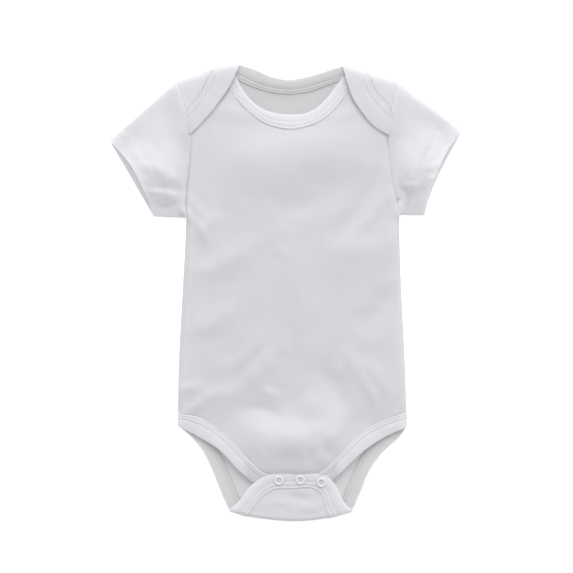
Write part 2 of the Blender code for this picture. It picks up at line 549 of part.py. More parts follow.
def build_sleeve(name, look, armhole_front, armhole_back, hem_front, hem_back, fold_rows):
    """A short tube, flat on its back: the lower layer, round the top fold, and back along the upper layer."""
    around = shares([], 1.0 / SLEEVE_AROUND, SLEEVE_ROLL)
    under, _ = sleeve_layer(curve(armhole_back)[::-1], curve(hem_back)[::-1], around, SLEEVE_ALONG)
    over, out = sleeve_layer(curve(armhole_front)[::-1], curve(hem_front)[::-1], around, SLEEVE_ALONG)
    ends = SHOULDERS + SIDES
    lowest = np.full((len(under), 1), BACK_Z)
    lowest[-3:] = HEM_WALL / 2
    under_z = SEAM_Z - (SEAM_Z - lowest) * edge_rise(nearest(under[..., 0], under[..., 1], ends))
    x, y = over[..., 0], over[..., 1]
    at_armhole = front_height(x, y) + SLEEVE_RISE * smooth_step((y - SLEEVE_RISE_Y) / SLEEVE_RISE_RUN)
    at_hem = HEM_LOFT + HEM_CROWN * np.sin(np.pi * around)[None]
    height = at_armhole + (at_hem - at_armhole) * smooth_step(out)
    height = height + folds(x, y, fold_rows) * np.sin(np.pi * out)
    over_z = SEAM_Z + (height - SEAM_Z) * edge_rise(nearest(x, y, ends))
    under = np.concatenate([under, under_z[..., None]], axis=-1)
    over = np.concatenate([over, over_z[..., None]], axis=-1)
    under[:, -1] = over[:, -1] = (under[:, -1] + over[:, -1]) / 2
    under[:, 0] = over[:, 0] = (under[:, 0] + over[:, 0]) / 2
    rings = np.concatenate([under, over[:, ::-1][:, 1:]], axis=1)
    mesh = bmesh.new()
    grid(mesh, rings)
    made = place(name, mesh, look)
    hem = made.vertex_groups.new(name="hem")
    places = rings.reshape(-1, 3)
    first_of_hem = (len(rings) - 3) * rings.shape[1]
    for vertex in made.data.vertices:
        nearest_place = np.argmin(np.linalg.norm(places - np.array(vertex.co) / MM, axis=1))
        hem.add([vertex.index], 1.0 if nearest_place >= first_of_hem else CLOTH / HEM_WALL, "REPLACE")
    solid = wall(made, HEM_WALL)
    solid.vertex_group = "hem"


BAND_SECTION = [  # share of the way from seam to edge, share of half the thickness
    (0.0, 0.8),
    (0.3, 1.0),
    (0.78, 1.0),
    (0.97, 0.6),
    (1.0, 0.0),
    (0.97, -0.6),
    (0.8, -1.0),
    (0.2, -1.0),
    (0.0, -0.8),
]


def build_band(name, look, runs):
    """A binding swept between its seam and its free edge. A run is (seam, edge, height) along one layer.

    The seam is the panel's own edge, and every point of it is a station, so that the two follow each other.
    """
    seams, edges, leans = [], [], []
    for panel_edge, edge_rows, height in runs:
        flat = panel_edge[:, :2]
        run = lengths(flat)
        share = []
        for low, high in zip(run, run[1:]):
            share.extend(np.linspace(low, high, max(1, round((high - low) / BAND_STEP)) + 1)[:-1])
        share = np.array(share + [run[-1]]) / run[-1]
        first = 1 if seams else 0
        seams.append(with_height(along(flat, share), height)[first:])
        edges.append(with_height(along(curve(edge_rows), share), height)[first:])
        ahead = np.gradient(seams[-1][:, :2], axis=0)
        across = edges[-1][:, :2] - seams[-1][:, :2]
        turn = np.abs(ahead[:, 0] * across[:, 1] - ahead[:, 1] * across[:, 0])
        leans.append(turn / np.linalg.norm(ahead, axis=1) / np.linalg.norm(across, axis=1))
    seam, edge, lean = np.concatenate(seams), np.concatenate(edges), np.concatenate(leans)
    across = edge - seam
    reach = np.linalg.norm(across, axis=1)[:, None]
    ahead = np.gradient((seam + edge) / 2, axis=0)
    up = np.cross(ahead, across)
    up /= np.linalg.norm(up, axis=1)[:, None]
    start = seam + across / reach * SEAM_GAP / np.maximum(lean, LEAST_LEAN)[:, None]
    rings = []
    for share, level in BAND_SECTION + BAND_SECTION[:1]:
        rings.append(start + (edge - start) * share + up * level * BINDING / 2)
    mesh = bmesh.new()
    grid(mesh, np.array(rings).transpose(1, 0, 2))
    bmesh.ops.remove_doubles(mesh, verts=mesh.verts, dist=WELD)
    open_edges = [e for e in mesh.edges if e.is_boundary]
    bmesh.ops.holes_fill(mesh, edges=open_edges, sides=0)
    place(name, mesh, look)


def turned(name, look, x, y, profile, closed):
    """A round piece: the profile, as radius and height, turned about its upright axis."""
    mesh = bmesh.new()
    points = [mesh.verts.new((radius * MM, 0.0, height * MM)) for radius, height in profile]
    for low, high in zip(points, points[1:] + points[:1] if closed else points[1:]):
        mesh.edges.new((low, high))
    data = bpy.data.meshes.new(name)
    mesh.to_mesh(data)
    mesh.free()
    made = bpy.data.objects.new(name, data)
    made.data.materials.append(look)
    made.location = (x * MM, y * MM, 0.0)
    bpy.data.collections["bodysuit"].objects.link(made)
    screw = made.modifiers.new("turn", "SCREW")
    screw.steps = screw.render_steps = SNAP_SIDES
    screw.use_merge_vertices = True
    screw.merge_threshold = SNAP_WELD
    screw.use_smooth_shade = True


def build_snap(side, x, y, look):
    """One snap, closed: a cap on the flap, a socket under the flap, a stud in it, and a ring under the band."""
    flap_top = FLAP_Z + BINDING / 2 + SNAP_CLEARANCE
    flap_under = FLAP_Z - BINDING / 2 - SNAP_CLEARANCE
    band_top = TAB_Z + BINDING / 2 + SNAP_CLEARANCE
    band_under = TAB_Z - BINDING / 2 - SNAP_CLEARANCE
    soft = SNAP_SOFT
    ring = [
        (SNAP_RADIUS, flap_top + soft),
        (SNAP_RADIUS - soft, flap_top),
        (SNAP_BORE, flap_top),
        (SNAP_BORE, flap_top + CAP_HEIGHT / 2),
        (SNAP_BORE + 2 * soft, flap_top + CAP_HEIGHT),
        (SNAP_RADIUS - 2 * soft, flap_top + CAP_HEIGHT),
    ]
    turned(f"snap_cap_{side}", look, x, y, ring, True)
    socket = [
        (SNAP_RADIUS - soft, flap_under),
        (SNAP_RADIUS, flap_under - SOCKET_HEIGHT),
        (STUD_HEAD + 2 * SNAP_CLEARANCE, flap_under - SOCKET_HEIGHT),
        (STUD_HEAD + 2 * SNAP_CLEARANCE, flap_under),
    ]
    turned(f"snap_socket_{side}", look, x, y, socket, True)
    head_top = flap_under - SNAP_CLEARANCE
    stud = [
        (0.0, head_top),
        (STUD_HEAD - soft, head_top),
        (STUD_HEAD, head_top - soft),
        (STUD_HEAD - soft, band_top + STUD_BASE),
        (SNAP_RADIUS, band_top + STUD_BASE),
        (SNAP_RADIUS, band_top),
        (0.0, band_top),
    ]
    turned(f"snap_stud_{side}", look, x, y, stud, False)
    rear = [
        (SNAP_RADIUS - soft, band_under),
        (SNAP_RADIUS, band_under - soft),
        (SNAP_RADIUS - 2 * soft, band_under - CAP_HEIGHT),
        (SNAP_BORE, band_under - CAP_HEIGHT),
        (SNAP_BORE, band_under),
    ]
    turned(f"snap_rear_{side}", look, x, y, rear, True)


def main():
    for old in list(bpy.data.objects):
        bpy.data.objects.remove(old, do_unlink=True)
    bpy.context.scene.collection.children.link(bpy.data.collections.new("bodysuit"))
    knit, rib, enamel = finish("white_knit"), finish("white_binding"), finish("white_snap")
    front = build_front(knit)
    back = build_back(knit)
    for name, lines in SLEEVES.items():
        build_sleeve(name, knit, *lines)
    build_band("front_neck_binding", rib, [(front["neck"], FRONT_NECK_EDGE, neck_band_z)])
    build_band("back_neck_binding", rib, [
        (back["lap_left"], LAP_EDGE_LEFT[::-1], lap_z),
        (back["neck"], BACK_NECK_EDGE, back_band_z),
        (back["lap_right"], LAP_EDGE_RIGHT, lap_z),
    ])
    build_band("front_leg_binding", rib, [(front["leg"], FRONT_LEG_EDGE, front_band_z)])
    build_band("back_leg_binding", rib, [
        (back["leg_left"], BACK_LEG_EDGE_LEFT, back_band_z),
        (back["flap"], FLAP_EDGE, flap_z),
        (back["leg_right"], BACK_LEG_EDGE_RIGHT, back_band_z),
    ])
    for side, x, y in SNAP_CENTRES:
        build_snap(side, x, y, enamel)


main()
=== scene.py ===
import math
import bmesh
import bpy
import numpy as np
from mathutils import Matrix, Vector, noise


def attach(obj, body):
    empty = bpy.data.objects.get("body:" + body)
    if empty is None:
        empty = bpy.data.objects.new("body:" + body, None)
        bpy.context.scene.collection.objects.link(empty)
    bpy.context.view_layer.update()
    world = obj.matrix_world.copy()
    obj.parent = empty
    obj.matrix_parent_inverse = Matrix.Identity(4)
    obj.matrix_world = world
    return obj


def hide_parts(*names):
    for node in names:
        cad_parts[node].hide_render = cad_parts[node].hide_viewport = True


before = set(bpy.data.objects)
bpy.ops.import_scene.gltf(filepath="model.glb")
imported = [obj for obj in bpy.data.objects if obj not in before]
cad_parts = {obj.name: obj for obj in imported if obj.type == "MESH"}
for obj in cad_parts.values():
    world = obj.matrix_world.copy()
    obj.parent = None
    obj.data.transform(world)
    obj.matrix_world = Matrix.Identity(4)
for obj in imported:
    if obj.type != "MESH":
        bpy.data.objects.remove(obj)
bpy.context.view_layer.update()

mm = 0.001
print("stage: frame loaded")

# Where seams, edges and folds meet on the flat garment, in millimetres. Left and right are as it lies.
corners = {
    "shoulderLeft": (-95, 184.3), "shoulderRight": (96.5, 184.4),
    "backNeckLeft": (-63.7, 195.4), "backNeckRight": (71, 192),
    "neckTipLeft": (-40.2, 199.4), "neckTipRight": (49.2, 198.4),
    "frontNeckLeft": (-57, 186.4), "frontNeckRight": (62.4, 186),
    "tabLeft": (-92.7, 177.4), "tabRight": (95.2, 177.8),
    "underarmLeft": (-86.4, 65.8), "underarmRight": (98.4, 68.6),
    "hipLeft": (-94, -106.5), "hipRight": (105, -105),
    "hipTipLeft": (-94.4, -116.5), "hipTipRight": (105.4, -117.5),
    "crotchLeft": (-34, -195), "crotchRight": (38, -196.4),
    "crotchTipLeft": (-50, -190), "crotchTipRight": (58.5, -190.6),
    "flapLeft": (-13.5, -173), "flapRight": (26, -172),
    "cuffTopLeft": (-153.8, 132.2), "cuffTopRight": (153.4, 141),
    "cuffLowLeft": (-116.3, 67.7), "cuffLowRight": (121.3, 68.6),
}

# Lines between them: corners by name, and the points on the way.
lines = {
    "shoulderFoldLeft": ["shoulderLeft", "backNeckLeft"],
    "shoulderFoldRight": ["backNeckRight", "shoulderRight"],
    "backNeckSeam": [
        "backNeckLeft", (-43.5, 186.5), (-29.5, 180), (-17, 176), (2, 173.5), (21.5, 176), (35.5, 181),
        (53, 187), "backNeckRight"],
    "backNeckEdge": [
        "neckTipLeft", (-26, 195), (-12, 189), (2, 186.5), (16.5, 188.5), (30.5, 192.5), "neckTipRight"],
    "lapSeamLeft": ["backNeckLeft", (-67, 188.5), (-70.5, 181), (-75, 173), (-80, 165.5), (-88.2, 156.9)],
    "lapEdgeLeft": [
        "neckTipLeft", (-47, 184), (-52.5, 174.5), (-58.5, 166), (-65.5, 156.5), (-74.5, 146.5),
        (-84.2, 136.8)],
    "lapSeamRight": ["backNeckRight", (74.5, 183), (79.5, 173.5), (86, 166), (93.1, 158.2)],
    "lapEdgeRight": ["neckTipRight", (53.6, 182), (57.3, 171.5), (65.2, 158.5), (77, 144.5), (90, 136.4)],
    "frontTabLeft": ["tabLeft", "frontNeckLeft"],
    "frontTabRight": ["frontNeckRight", "tabRight"],
    "frontNeckSeam": [
        "frontNeckLeft", (-49.5, 178), (-41, 166.8), (-30, 155.6), (-20, 148.4), (-7, 143.7), (4.5, 142.2),
        (16.5, 144.2), (30, 149.4), (39, 156.2), (47.5, 166), (55, 175.9), "frontNeckRight"],
    "frontNeckEdge": [
        (-44.5, 190.8), (-36.5, 175.6), (-28, 165.8), (-18, 159.5), (-7, 156.4), (5, 155.4), (16.5, 156.4),
        (27.5, 162.1), (35, 169.3), (41, 177.1), (50, 189.3)],
    "armholeFrontLeft": [
        "shoulderLeft", (-90.5, 170.5), (-87, 158.5), (-84.5, 145.5), (-83, 137), (-83, 124.5), (-84.5, 99),
        (-86, 83), "underarmLeft"],
    "armholeFrontRight": [
        "shoulderRight", (94, 170.5), (92, 158.5), (90.5, 145.5), (89.5, 137), (89.5, 124.5), (90.5, 109.5),
        (94.5, 87), "underarmRight"],
    "armholeBackLeft": ["shoulderLeft", (-89, 165), (-86, 145), (-85, 125), (-85.5, 85), "underarmLeft"],
    "armholeBackRight": ["shoulderRight", (93.5, 165), (91.5, 145), (91.5, 125), (94.5, 87), "underarmRight"],
    "sideLeft": ["underarmLeft", (-88.4, 25), (-90.4, -10), (-93, -60), "hipLeft"],
    "sideRight": ["underarmRight", (99.4, 25), (100.9, -10), (103.4, -60), "hipRight"],
    "frontLegSeam": [
        "hipLeft", (-84, -107), (-74.5, -109.5), (-65.5, -115), (-45, -131.5), (-29, -149.5), (-18, -157.5),
        (-7, -159.6), (5.5, -160), (18, -159.6), (29, -157.5), (38.5, -150), (54.5, -132.5), (72, -118),
        (83, -112.5), "hipRight"],
    "frontLegEdge": [
        "hipTipLeft", (-77.5, -125.5), (-60, -136), (-42.5, -153.5), (-26, -168), (-12, -172.5), (5.5, -173),
        (23, -172.5), (36.5, -167), (53, -152), (69.5, -137), (87, -126), "hipTipRight"],
    "backLegSeamLeft": [
        "hipLeft", (-83, -109), (-74.5, -116), (-58.5, -137.5), (-49, -159), (-39.5, -181.5), "crotchLeft"],
    "backLegSeamRight": [
        "crotchRight", (48.5, -181), (57.5, -159), (67.5, -140), (83, -121), (92, -112.5), "hipRight"],
    "backLegEdgeLeft": [
        "hipTipLeft", (-87.5, -122), (-74.5, -136), (-65.5, -153.5), (-57, -174.5), "crotchTipLeft"],
    "backLegEdgeRight": [
        "crotchTipRight", (65.5, -174.5), (74.5, -153.5), (85, -139.5), (100, -125.5), "hipTipRight"],
    "crotchFold": ["crotchLeft", (-20.5, -197), (5.5, -199.2), (20, -198.7), "crotchRight"],
    "flapSideLeft": ["crotchLeft", (-26, -185), (-20.5, -178), "flapLeft"],
    "flapTop": ["flapLeft", (5.5, -171), "flapRight"],
    "flapSideRight": ["flapRight", (31, -176), (34, -186), "crotchRight"],
    "flapEdge": [
        "crotchTipLeft", (-39.5, -180), (-33, -170.5), (-26, -164.5), (-19, -160), (-10, -157.5), (13, -156),
        (23.5, -157), (35.5, -159.8), (44, -169), (51, -183), "crotchTipRight"],
    "sleeveFoldLeft": ["shoulderLeft", (-107.6, 175.9), (-120.6, 164.4), (-133, 154), "cuffTopLeft"],
    "sleeveFoldRight": ["shoulderRight", (111.6, 173.4), (124.1, 164.4), (138, 154), "cuffTopRight"],
    "sleeveSeamLeft": ["underarmLeft", (-101, 66.6), "cuffLowLeft"],
    "sleeveSeamRight": ["underarmRight", (110, 68.3), "cuffLowRight"],
    "hemBackLeft": ["cuffTopLeft", "cuffLowLeft"],
    "hemFrontLeft": [
        "cuffTopLeft", (-145.5, 123.5), (-134, 109), (-126, 93.5), (-119.5, 79.5), "cuffLowLeft"],
    "hemBackRight": ["cuffTopRight", (126, 84.5), "cuffLowRight"],
    "hemFrontRight": ["cuffTopRight", (141, 124), (133, 108), (127.5, 92), "cuffLowRight"],
}
lines["flapSeam"] = lines["flapSideLeft"] + lines["flapTop"][1:] + lines["flapSideRight"][1:]
lines = {name: [corners.get(point, point) for point in points] for name, points in lines.items()}

cloth = {
    "wall": 1.1, "binding": 2.2, "hemWall": 2.0, "hemDepth": 16.0,
    "step": 1.9, "tuck": 1.0,  # size of the mesh's squares, length tucked into a binding
    "cornerRows": (7.0, 5.0, 3.0, 1.5, 0.5, 0.0),  # rows of their own, so far above the underarm
}
layers = {  # heights over the floor
    "back": 0.6, "seam": 3.7, "tab": 6.6, "flapFoot": 11.0, "flap": 11.2,
    "reach": 7.0,  # width of the roll along a fold or a side
}


def smoothCurve(knots, values, at):
    # a curve through the values, with no corner at a knot
    slope = np.gradient(values, knots, axis=0)
    left = np.clip(np.searchsorted(knots, at, side="right") - 1, 0, len(knots) - 2)
    width = (knots[left + 1] - knots[left])[..., None]
    t = np.clip((at - knots[left])[..., None] / width, 0.0, 1.0)
    near = (2 * t**3 - 3 * t**2 + 1) * values[left] + (t**3 - 2 * t**2 + t) * width * slope[left]
    far = (3 * t**2 - 2 * t**3) * values[left + 1] + (t**3 - t**2) * width * slope[left + 1]
    return near + far


def runOf(line):
    return np.concatenate([[0.0], np.cumsum(np.linalg.norm(np.diff(line, axis=0), axis=1))])


def smoothLine(points, step=0.8):
    points = np.array(points, float)
    chord = runOf(points)
    return smoothCurve(chord, points, np.linspace(0.0, chord[-1], max(2, int(chord[-1] / step) + 1)))


def table(rows, at):
    # rows of place, value, value ...
    rows = np.array(rows, float)
    return smoothCurve(rows[:, 0], rows[:, 1:], at)


paths = {name: smoothLine(points) for name, points in lines.items()}


def joined(*names):
    return np.concatenate([paths[names[0]]] + [paths[name][1:] for name in names[1:]])


def pointsAt(line, run, at):
    return np.stack([np.interp(at, run, line[:, k]) for k in range(line.shape[1])], axis=-1)


def along(line, share):
    run = runOf(line)
    return pointsAt(line, run, np.asarray(share) * run[-1])


def smoothStep(value):
    t = np.clip(value, 0.0, 1.0)
    return t * t * (3 - 2 * t)


def ramp(value, start, end):
    # 0 at the start, 1 at the end
    return smoothStep((value - start) / (end - start))


def between(start, end, share):
    return start + (end - start) * share


def bell(distance, reach):
    return np.exp(-((distance / reach) ** 2))


def distanceTo(x, y, line):
    line = line[::3] if len(line) > 60 else line  # long lines are dense enough without two points in three
    best = np.full(x.shape, 1e9)
    for start, end in zip(line, line[1:]):
        span = end - start
        size = max((span * span).sum(), 1e-9)
        t = np.clip(((x - start[0]) * span[0] + (y - start[1]) * span[1]) / size, 0.0, 1.0)
        best = np.minimum(best, (x - start[0] - t * span[0]) ** 2 + (y - start[1] - t * span[1]) ** 2)
    return np.sqrt(best)


def nearest(x, y, edges):
    return np.min([distanceTo(x, y, edge) for edge in edges], axis=0)


def toSeams(x, y, *names):
    return nearest(x, y, [paths[name] for name in names])


def thinned(name):
    line = paths[name]
    thin = line[::4]
    return thin if np.allclose(thin[-1], line[-1]) else np.concatenate([thin, line[-1:]])


sideEdges = [
    np.concatenate([thinned("sleeveSeam" + at)[::-1], thinned("side" + at)[1:], [corners["hipTip" + at]]])
    for at in ("Left", "Right")]
shoulderEdges = [
    np.concatenate([
        thinned("sleeveFoldLeft")[::-1], thinned("shoulderFoldLeft")[1:], [corners["neckTipLeft"]]]),
    np.concatenate([
        [corners["neckTipRight"]], thinned("shoulderFoldRight"), thinned("sleeveFoldRight")[1:]]),
]
crotchEdge = np.concatenate([[corners["crotchTipLeft"]], thinned("crotchFold"), [corners["crotchTipRight"]]])


def edgeRise(distance, reach=layers["reach"], power=2.0):
    # the round shoulder of a layer that rises from its fold
    return np.maximum(0.0, 1 - (1 - np.clip(distance / reach, 0.0, 1.0)) ** power) ** (1 / power)


def ripple(x, y, size, seed):
    flat = np.stack([np.ravel(x) / size, np.ravel(y) / size], axis=-1)
    found = [noise.noise(Vector((p[0], p[1], seed))) for p in flat]
    return np.array(found).reshape(np.shape(x))


def ripples(x, y, rows):
    return sum(height * ripple(x, y, size, seed) for height, size, seed in rows)


foldEnds = (-0.18, 0.32)  # a fold fades in over this share of its length, and out likewise


def foldHeight(x, y, rows):
    # one row a fold: it bends by its bow, and is steeper on one side by its lean
    total = np.zeros(np.shape(x))
    for xFrom, yFrom, xTo, yTo, width, height, bow, lean in rows:
        run = math.hypot(xTo - xFrom, yTo - yFrom)
        ux, uy = (xTo - xFrom) / run, (yTo - yFrom) / run
        t = ((x - xFrom) * ux + (y - yFrom) * uy) / run
        across = (x - xFrom) * -uy + (y - yFrom) * ux - bow * 4 * t * (1 - t)
        side = np.where(across > 0, width * (1 + lean), width * (1 - lean))
        total += height * bell(across, side) * ramp(t, *foldEnds) * ramp(1 - t, *foldEnds)
    return total


def sewnIn(x, y, distance, groove, roll=None, pucker=None):
    # beside its stitches cloth has a groove, a soft ridge a little way off and small waves
    depth, reach = groove
    found = -depth * bell(distance, reach)
    if roll:
        height, off, reach = roll
        found = found + height * bell(distance - off, reach)
    if pucker:
        height, size, seed, reach = pucker
        found = found + height * ripple(x, y, size, seed) * np.exp(-distance / reach)
    return found


# Folds are rows of x, y from; x, y to; width, height, bow, lean.
frontPanel = {
    "loft": [  # y, height near the sides, height at the centre
        (-180, 7.4, 8.6), (-157, 7.6, 12.2), (-152.5, 7.8, 13.2), (-146, 8.1, 13.4), (-136, 8.5, 13.0),
        (-124, 8.9, 10.0), (-112, 9.3, 8.0), (-100, 9.4, 7.8), (-84, 9.5, 8.5), (-60, 9.8, 9.9),
        (0, 10.6, 12.6), (70, 10.4, 13.0), (120, 9.8, 11.4), (150, 9.0, 9.2), (178, 7.2, 7.0),
        (200, 5.8, 5.6)],
    "centre": 5.0, "halfWidth": 96.0,
    "tab": (-165, -156),  # the cloth leaves the flat crotch tab between these
    "ripples": [(0.5, 26.0, 3.1), (0.3, 11.0, 7.7), (0.09, 4.2, 1.9)],  # height, size, seed
    "sideRoll": 5.0, "sideRise": 0.3,
    "neckDip": {"depth": 2.2, "reach": 22.0, "rows": (60, 100)},
    "legDip": {"depth": 1.9, "reach": 15.0, "rows": (-156, -140), "off": (24, 60)},
    "armhole": {"depth": 0.8, "reach": 3.0, "rows": (70, 84, 140, 128)},  # hollow along the sleeve's seam
    "belowLap": (146, 136),  # the sleeve's seam shows from here on
    "armholeSeam": {"groove": (0.4, 0.6), "roll": (0.45, 1.3, 1.2), "pucker": (0.6, 4.6, 5.5, 4.0)},
    "bandSeam": {"groove": (0.3, 1.4), "pucker": (0.55, 5.0, 9.2, 4.5)},
    "rowBend": 2.0, "fullness": 1.35, "fine": 0.5,  # share of the ripples in what is sewn to it
    "folds": [
        # chest
        (-52, 108, 56, 137, 25, 4.1, 3, -0.25), (-12, 68, 26, 78, 12, -1.3, 0, 0.25),
        (22, 80, 66, 100, 18, -1.4, -3, 0.2), (-62, 160, -26, 152, 6.5, 1, 0, 0),
        (34, 150, 62, 158, 6, 0.8, 0, 0),
        # from the armholes
        (80, 106, 46, 50, 7.5, -1.5, 3, 0), (92, 96, 66, 56, 5, 0.9, 2, 0.2),
        (102, 46, 34, 36, 14, 1.7, 3, 0.2), (94, 4, 62, -30, 11, -1.3, 3, 0.1),
        (-22, 49, -84, 14, 10, 1.5, 3, 0.15), (-40, -10, -88, -36, 9, 1.2, 2, 0.1),
        (-58, 70, -84, 46, 7, 1, 1, 0),
        # towards the left leg
        (-4, -44, -60, -97, 8, 1.5, 3, 0.2), (-20, -36, -52, -66, 5, 1, 2, 0.2),
        (-48, -82, -90, -108, 5.4, 1.3, -2, 0.2), (-30, -66, -74, -101, 6, -0.6, 2, 0),
        (-94, -88, -76, -79, 4, 0.9, 0, 0),
        # belly
        (-38, -121, 14, -125, 13.5, 4.6, -1, -0.15), (-2, -124, 54, -119, 15, 4.5, -2, -0.15),
        (-40, -101, -6, -106, 5, -1.1, 2, 0), (10, -98, 48, -114, 13, 2.6, 4, -0.1),
        (-21, -84, -6, -92, 5, 1, 0, -0.2),
        # above the flap
        (-24, -137, -18, -148, 3.6, 0.5, 1, 0), (30, -124, 40, -142, 4, -0.7, 0, 0),
        (30, -131, 46, -121, 3.6, 0.8, 0, 0), (26, -141, 38, -149, 3.6, 0.8, 0, 0),
        # towards the right leg
        (28, -68, 56, -102, 8, -1.1, 2, 0.1), (52, -52, 80, -100, 5.5, 1, 2, 0.1),
        (70, -60, 92, -96, 6, 0.9, 2, 0.1),
        # under the arms
        (-87, 86, -68, 62, 3.6, 0.8, 0, 0.1), (-87, 72, -66, 40, 4.6, 0.9, 2, 0.1),
        (92, 90, 93, 66, 3.2, 0.8, 0, 0),
        # middle
        (2, 30, 14, -30, 13, 0.8, 3, 0), (-12, 40, 22, 22, 9, 0.6, 0, 0),
        (44, -16, 30, -62, 10, 0.7, 2, 0),
    ],
}


def frontHeight(x, y, fine=1.0):
    low, high = np.moveaxis(table(frontPanel["loft"], y), -1, 0)
    offCentre = np.clip(np.abs(x - frontPanel["centre"]) / frontPanel["halfWidth"], 0.0, 1.0)
    height = between(low, high, 1 - offCentre**2)
    height = height + frontPanel["fullness"] * foldHeight(x, y, frontPanel["folds"])
    height = height + fine * ripples(x, y, frontPanel["ripples"])
    return between(layers["tab"], height, ramp(y, *frontPanel["tab"]))


def dip(x, y):
    # the cloth sinks towards the neck and the leg openings
    neck, leg = frontPanel["neckDip"], frontPanel["legDip"]
    atNeck = neck["depth"] * bell(toSeams(x, y, "frontNeckSeam"), neck["reach"]) * ramp(y, *neck["rows"])
    atLeg = leg["depth"] * bell(toSeams(x, y, "frontLegSeam"), leg["reach"]) * ramp(y, *leg["rows"])
    return atNeck + atLeg * ramp(np.abs(x - frontPanel["centre"]), *leg["off"])


def coverZ(x, y, fine=frontPanel["fine"]):
    return frontHeight(x, y, fine) - dip(x, y)


def frontZ(x, y):
    low = layers["seam"] + frontPanel["sideRise"]
    z = between(low, coverZ(x, y, 1.0), edgeRise(nearest(x, y, sideEdges), frontPanel["sideRoll"]))
    armhole = toSeams(x, y, "armholeFrontLeft", "armholeFrontRight")
    band = toSeams(x, y, "frontNeckSeam", "frontLegSeam")
    hollow = frontPanel["armhole"]
    fromY, toY, lapY, openY = hollow["rows"]
    z = z - hollow["depth"] * bell(armhole, hollow["reach"]) * ramp(y, fromY, toY) * ramp(y, lapY, openY)
    z = z + sewnIn(x, y, armhole, **frontPanel["armholeSeam"]) * ramp(y, *frontPanel["belowLap"])
    return z + sewnIn(x, y, band, **frontPanel["bandSeam"])


backPanel = {
    "bulge": {"height": 1.6, "at": -166.0, "reach": 24.0, "offLeg": 8.0},  # fullness at the seat
    "neckRise": (0.9, 9.0), "legRise": (0.5, 6.0),  # height, reach
    "wave": 0.5, "waveLevel": 0.25, "waves": [(0.5, 22.0, 11.3), (0.2, 9.0, 2.2)],
    "step": 2.6, "rowStep": 3.2,
    "folds": [  # all lifted off the floor
        (-78, 118, -20, 96, 6, 1, 4, 0.2), (84, 104, 30, 74, 7, 0.9, -3, 0.1),
        (-70, 40, -8, 22, 8, 1.1, 5, 0), (82, 12, 22, -8, 6, 0.8, -4, 0.2),
        (-80, -34, -24, -66, 5, 1, 3, 0.2), (88, -58, 40, -92, 6, 1, -2, 0),
        (-22, -104, 36, -110, 9, 1.2, 3, 0.1), (-26, 148, 34, 144, 8, 0.9, -3, 0),
        (-8, -136, 26, -142, 5, 0.8, 1, 0),
    ],
}


def backZ(x, y):
    low, seam, bulge = layers["back"], layers["seam"], backPanel["bulge"]
    atSide = (seam - frontPanel["sideRise"] - low) * (1 - edgeRise(nearest(x, y, sideEdges)))
    atFold = (seam - low) * (1 - edgeRise(nearest(x, y, shoulderEdges + [crotchEdge])))
    leg = toSeams(x, y, "backLegSeamLeft", "backLegSeamRight")
    full = bulge["height"] * bell(y - bulge["at"], bulge["reach"]) * ramp(leg, 0.0, bulge["offLeg"])
    z = low + np.maximum(np.maximum(atSide, atFold), full)
    for distance, rise in ((toSeams(x, y, "backNeckSeam"), "neckRise"), (leg, "legRise")):
        height, reach = backPanel[rise]
        z = z + height * np.exp(-distance / reach)
    waves = np.clip(backPanel["waveLevel"] + ripples(x, y, backPanel["waves"]), 0.0, 1.0)
    return z + backPanel["wave"] * waves + foldHeight(x, y, backPanel["folds"])


laps = {
    "rise": 1.8, "fine": 0.6, "ripples": [(0.35, 9.0, 4.4)], "shoulderRoll": (6.0, 2.8),
    "armholeSeam": {"groove": (0.5, 0.5), "roll": (0.5, 1.0, 0.8)}, "bandSeam": {"groove": (0.6, 1.6)},
    "rows": [0.008, 0.03, 0.065, 0.11, 0.16] + list(np.linspace(0.22, 0.97, 16)),  # shares of the length
}


def lapZ(x, y):
    top = frontHeight(x, y, laps["fine"]) + laps["rise"] + ripples(x, y, laps["ripples"])
    top = top + sewnIn(x, y, toSeams(x, y, "armholeFrontLeft", "armholeFrontRight"), **laps["armholeSeam"])
    return between(layers["seam"], top, edgeRise(nearest(x, y, shoulderEdges), *laps["shoulderRoll"]))


def lapClothZ(x, y):
    return lapZ(x, y) + sewnIn(x, y, toSeams(x, y, "lapSeamLeft", "lapSeamRight"), **laps["bandSeam"])


flap = {
    "footRows": (-194, -176), "clothRows": (-172, -178), "ripples": [(0.5, 9.0, 6.1)],
    "crotchRoll": (3.0, 2.8), "bandSeam": {"groove": (0.15, 1.6)},
    "tuck": 1.6, "tuckFrom": 0.9, "sideTuck": 1.3, "sideWidth": 60.0, "sideReach": 3.0, "sideFrom": 0.2,
    "rows": [0.008, 0.03, 0.065, 0.11, 0.17] + list(np.linspace(0.24, 1.0, 12)),  # shares of the length
    "folds": [
        (-14, -182, 4, -186, 3.5, 0.8, 1, 0.2), (2, -179, 22, -182, 4, -0.8, 1, 0),
        (10, -189, 30, -187, 3.5, 0.7, 0, 0.2),
    ],
}


def flapZ(x, y):
    waves = ripples(x, y, flap["ripples"]) + foldHeight(x, y, flap["folds"])
    top = between(layers["flapFoot"], layers["flap"], ramp(y, *flap["footRows"]))
    top = top + ramp(y, *flap["clothRows"]) * waves
    return between(layers["seam"], top, edgeRise(distanceTo(x, y, crotchEdge), *flap["crotchRoll"]))


def flapClothZ(x, y):
    return flapZ(x, y) + sewnIn(x, y, toSeams(x, y, "flapSeam"), **flap["bandSeam"])


bandLevels = {  # of the bindings' middles over the cloth that they hold, or over the floor
    "floor": 0.45, "backEnd": 2.4, "frontEnd": 5.0, "sideRun": 14.0,
    "neckEdge": 4.2, "neckSeam": 0.35, "legEdge": 1.3, "legEdgeRows": (-194, -180),
    "front": 0.25, "frontLegEdge": 2.0, "frontLegRows": (-158, -148),
    "frontNeck": 0.3, "neckTuck": 0.9, "neckTuckRows": (164, 178),
}


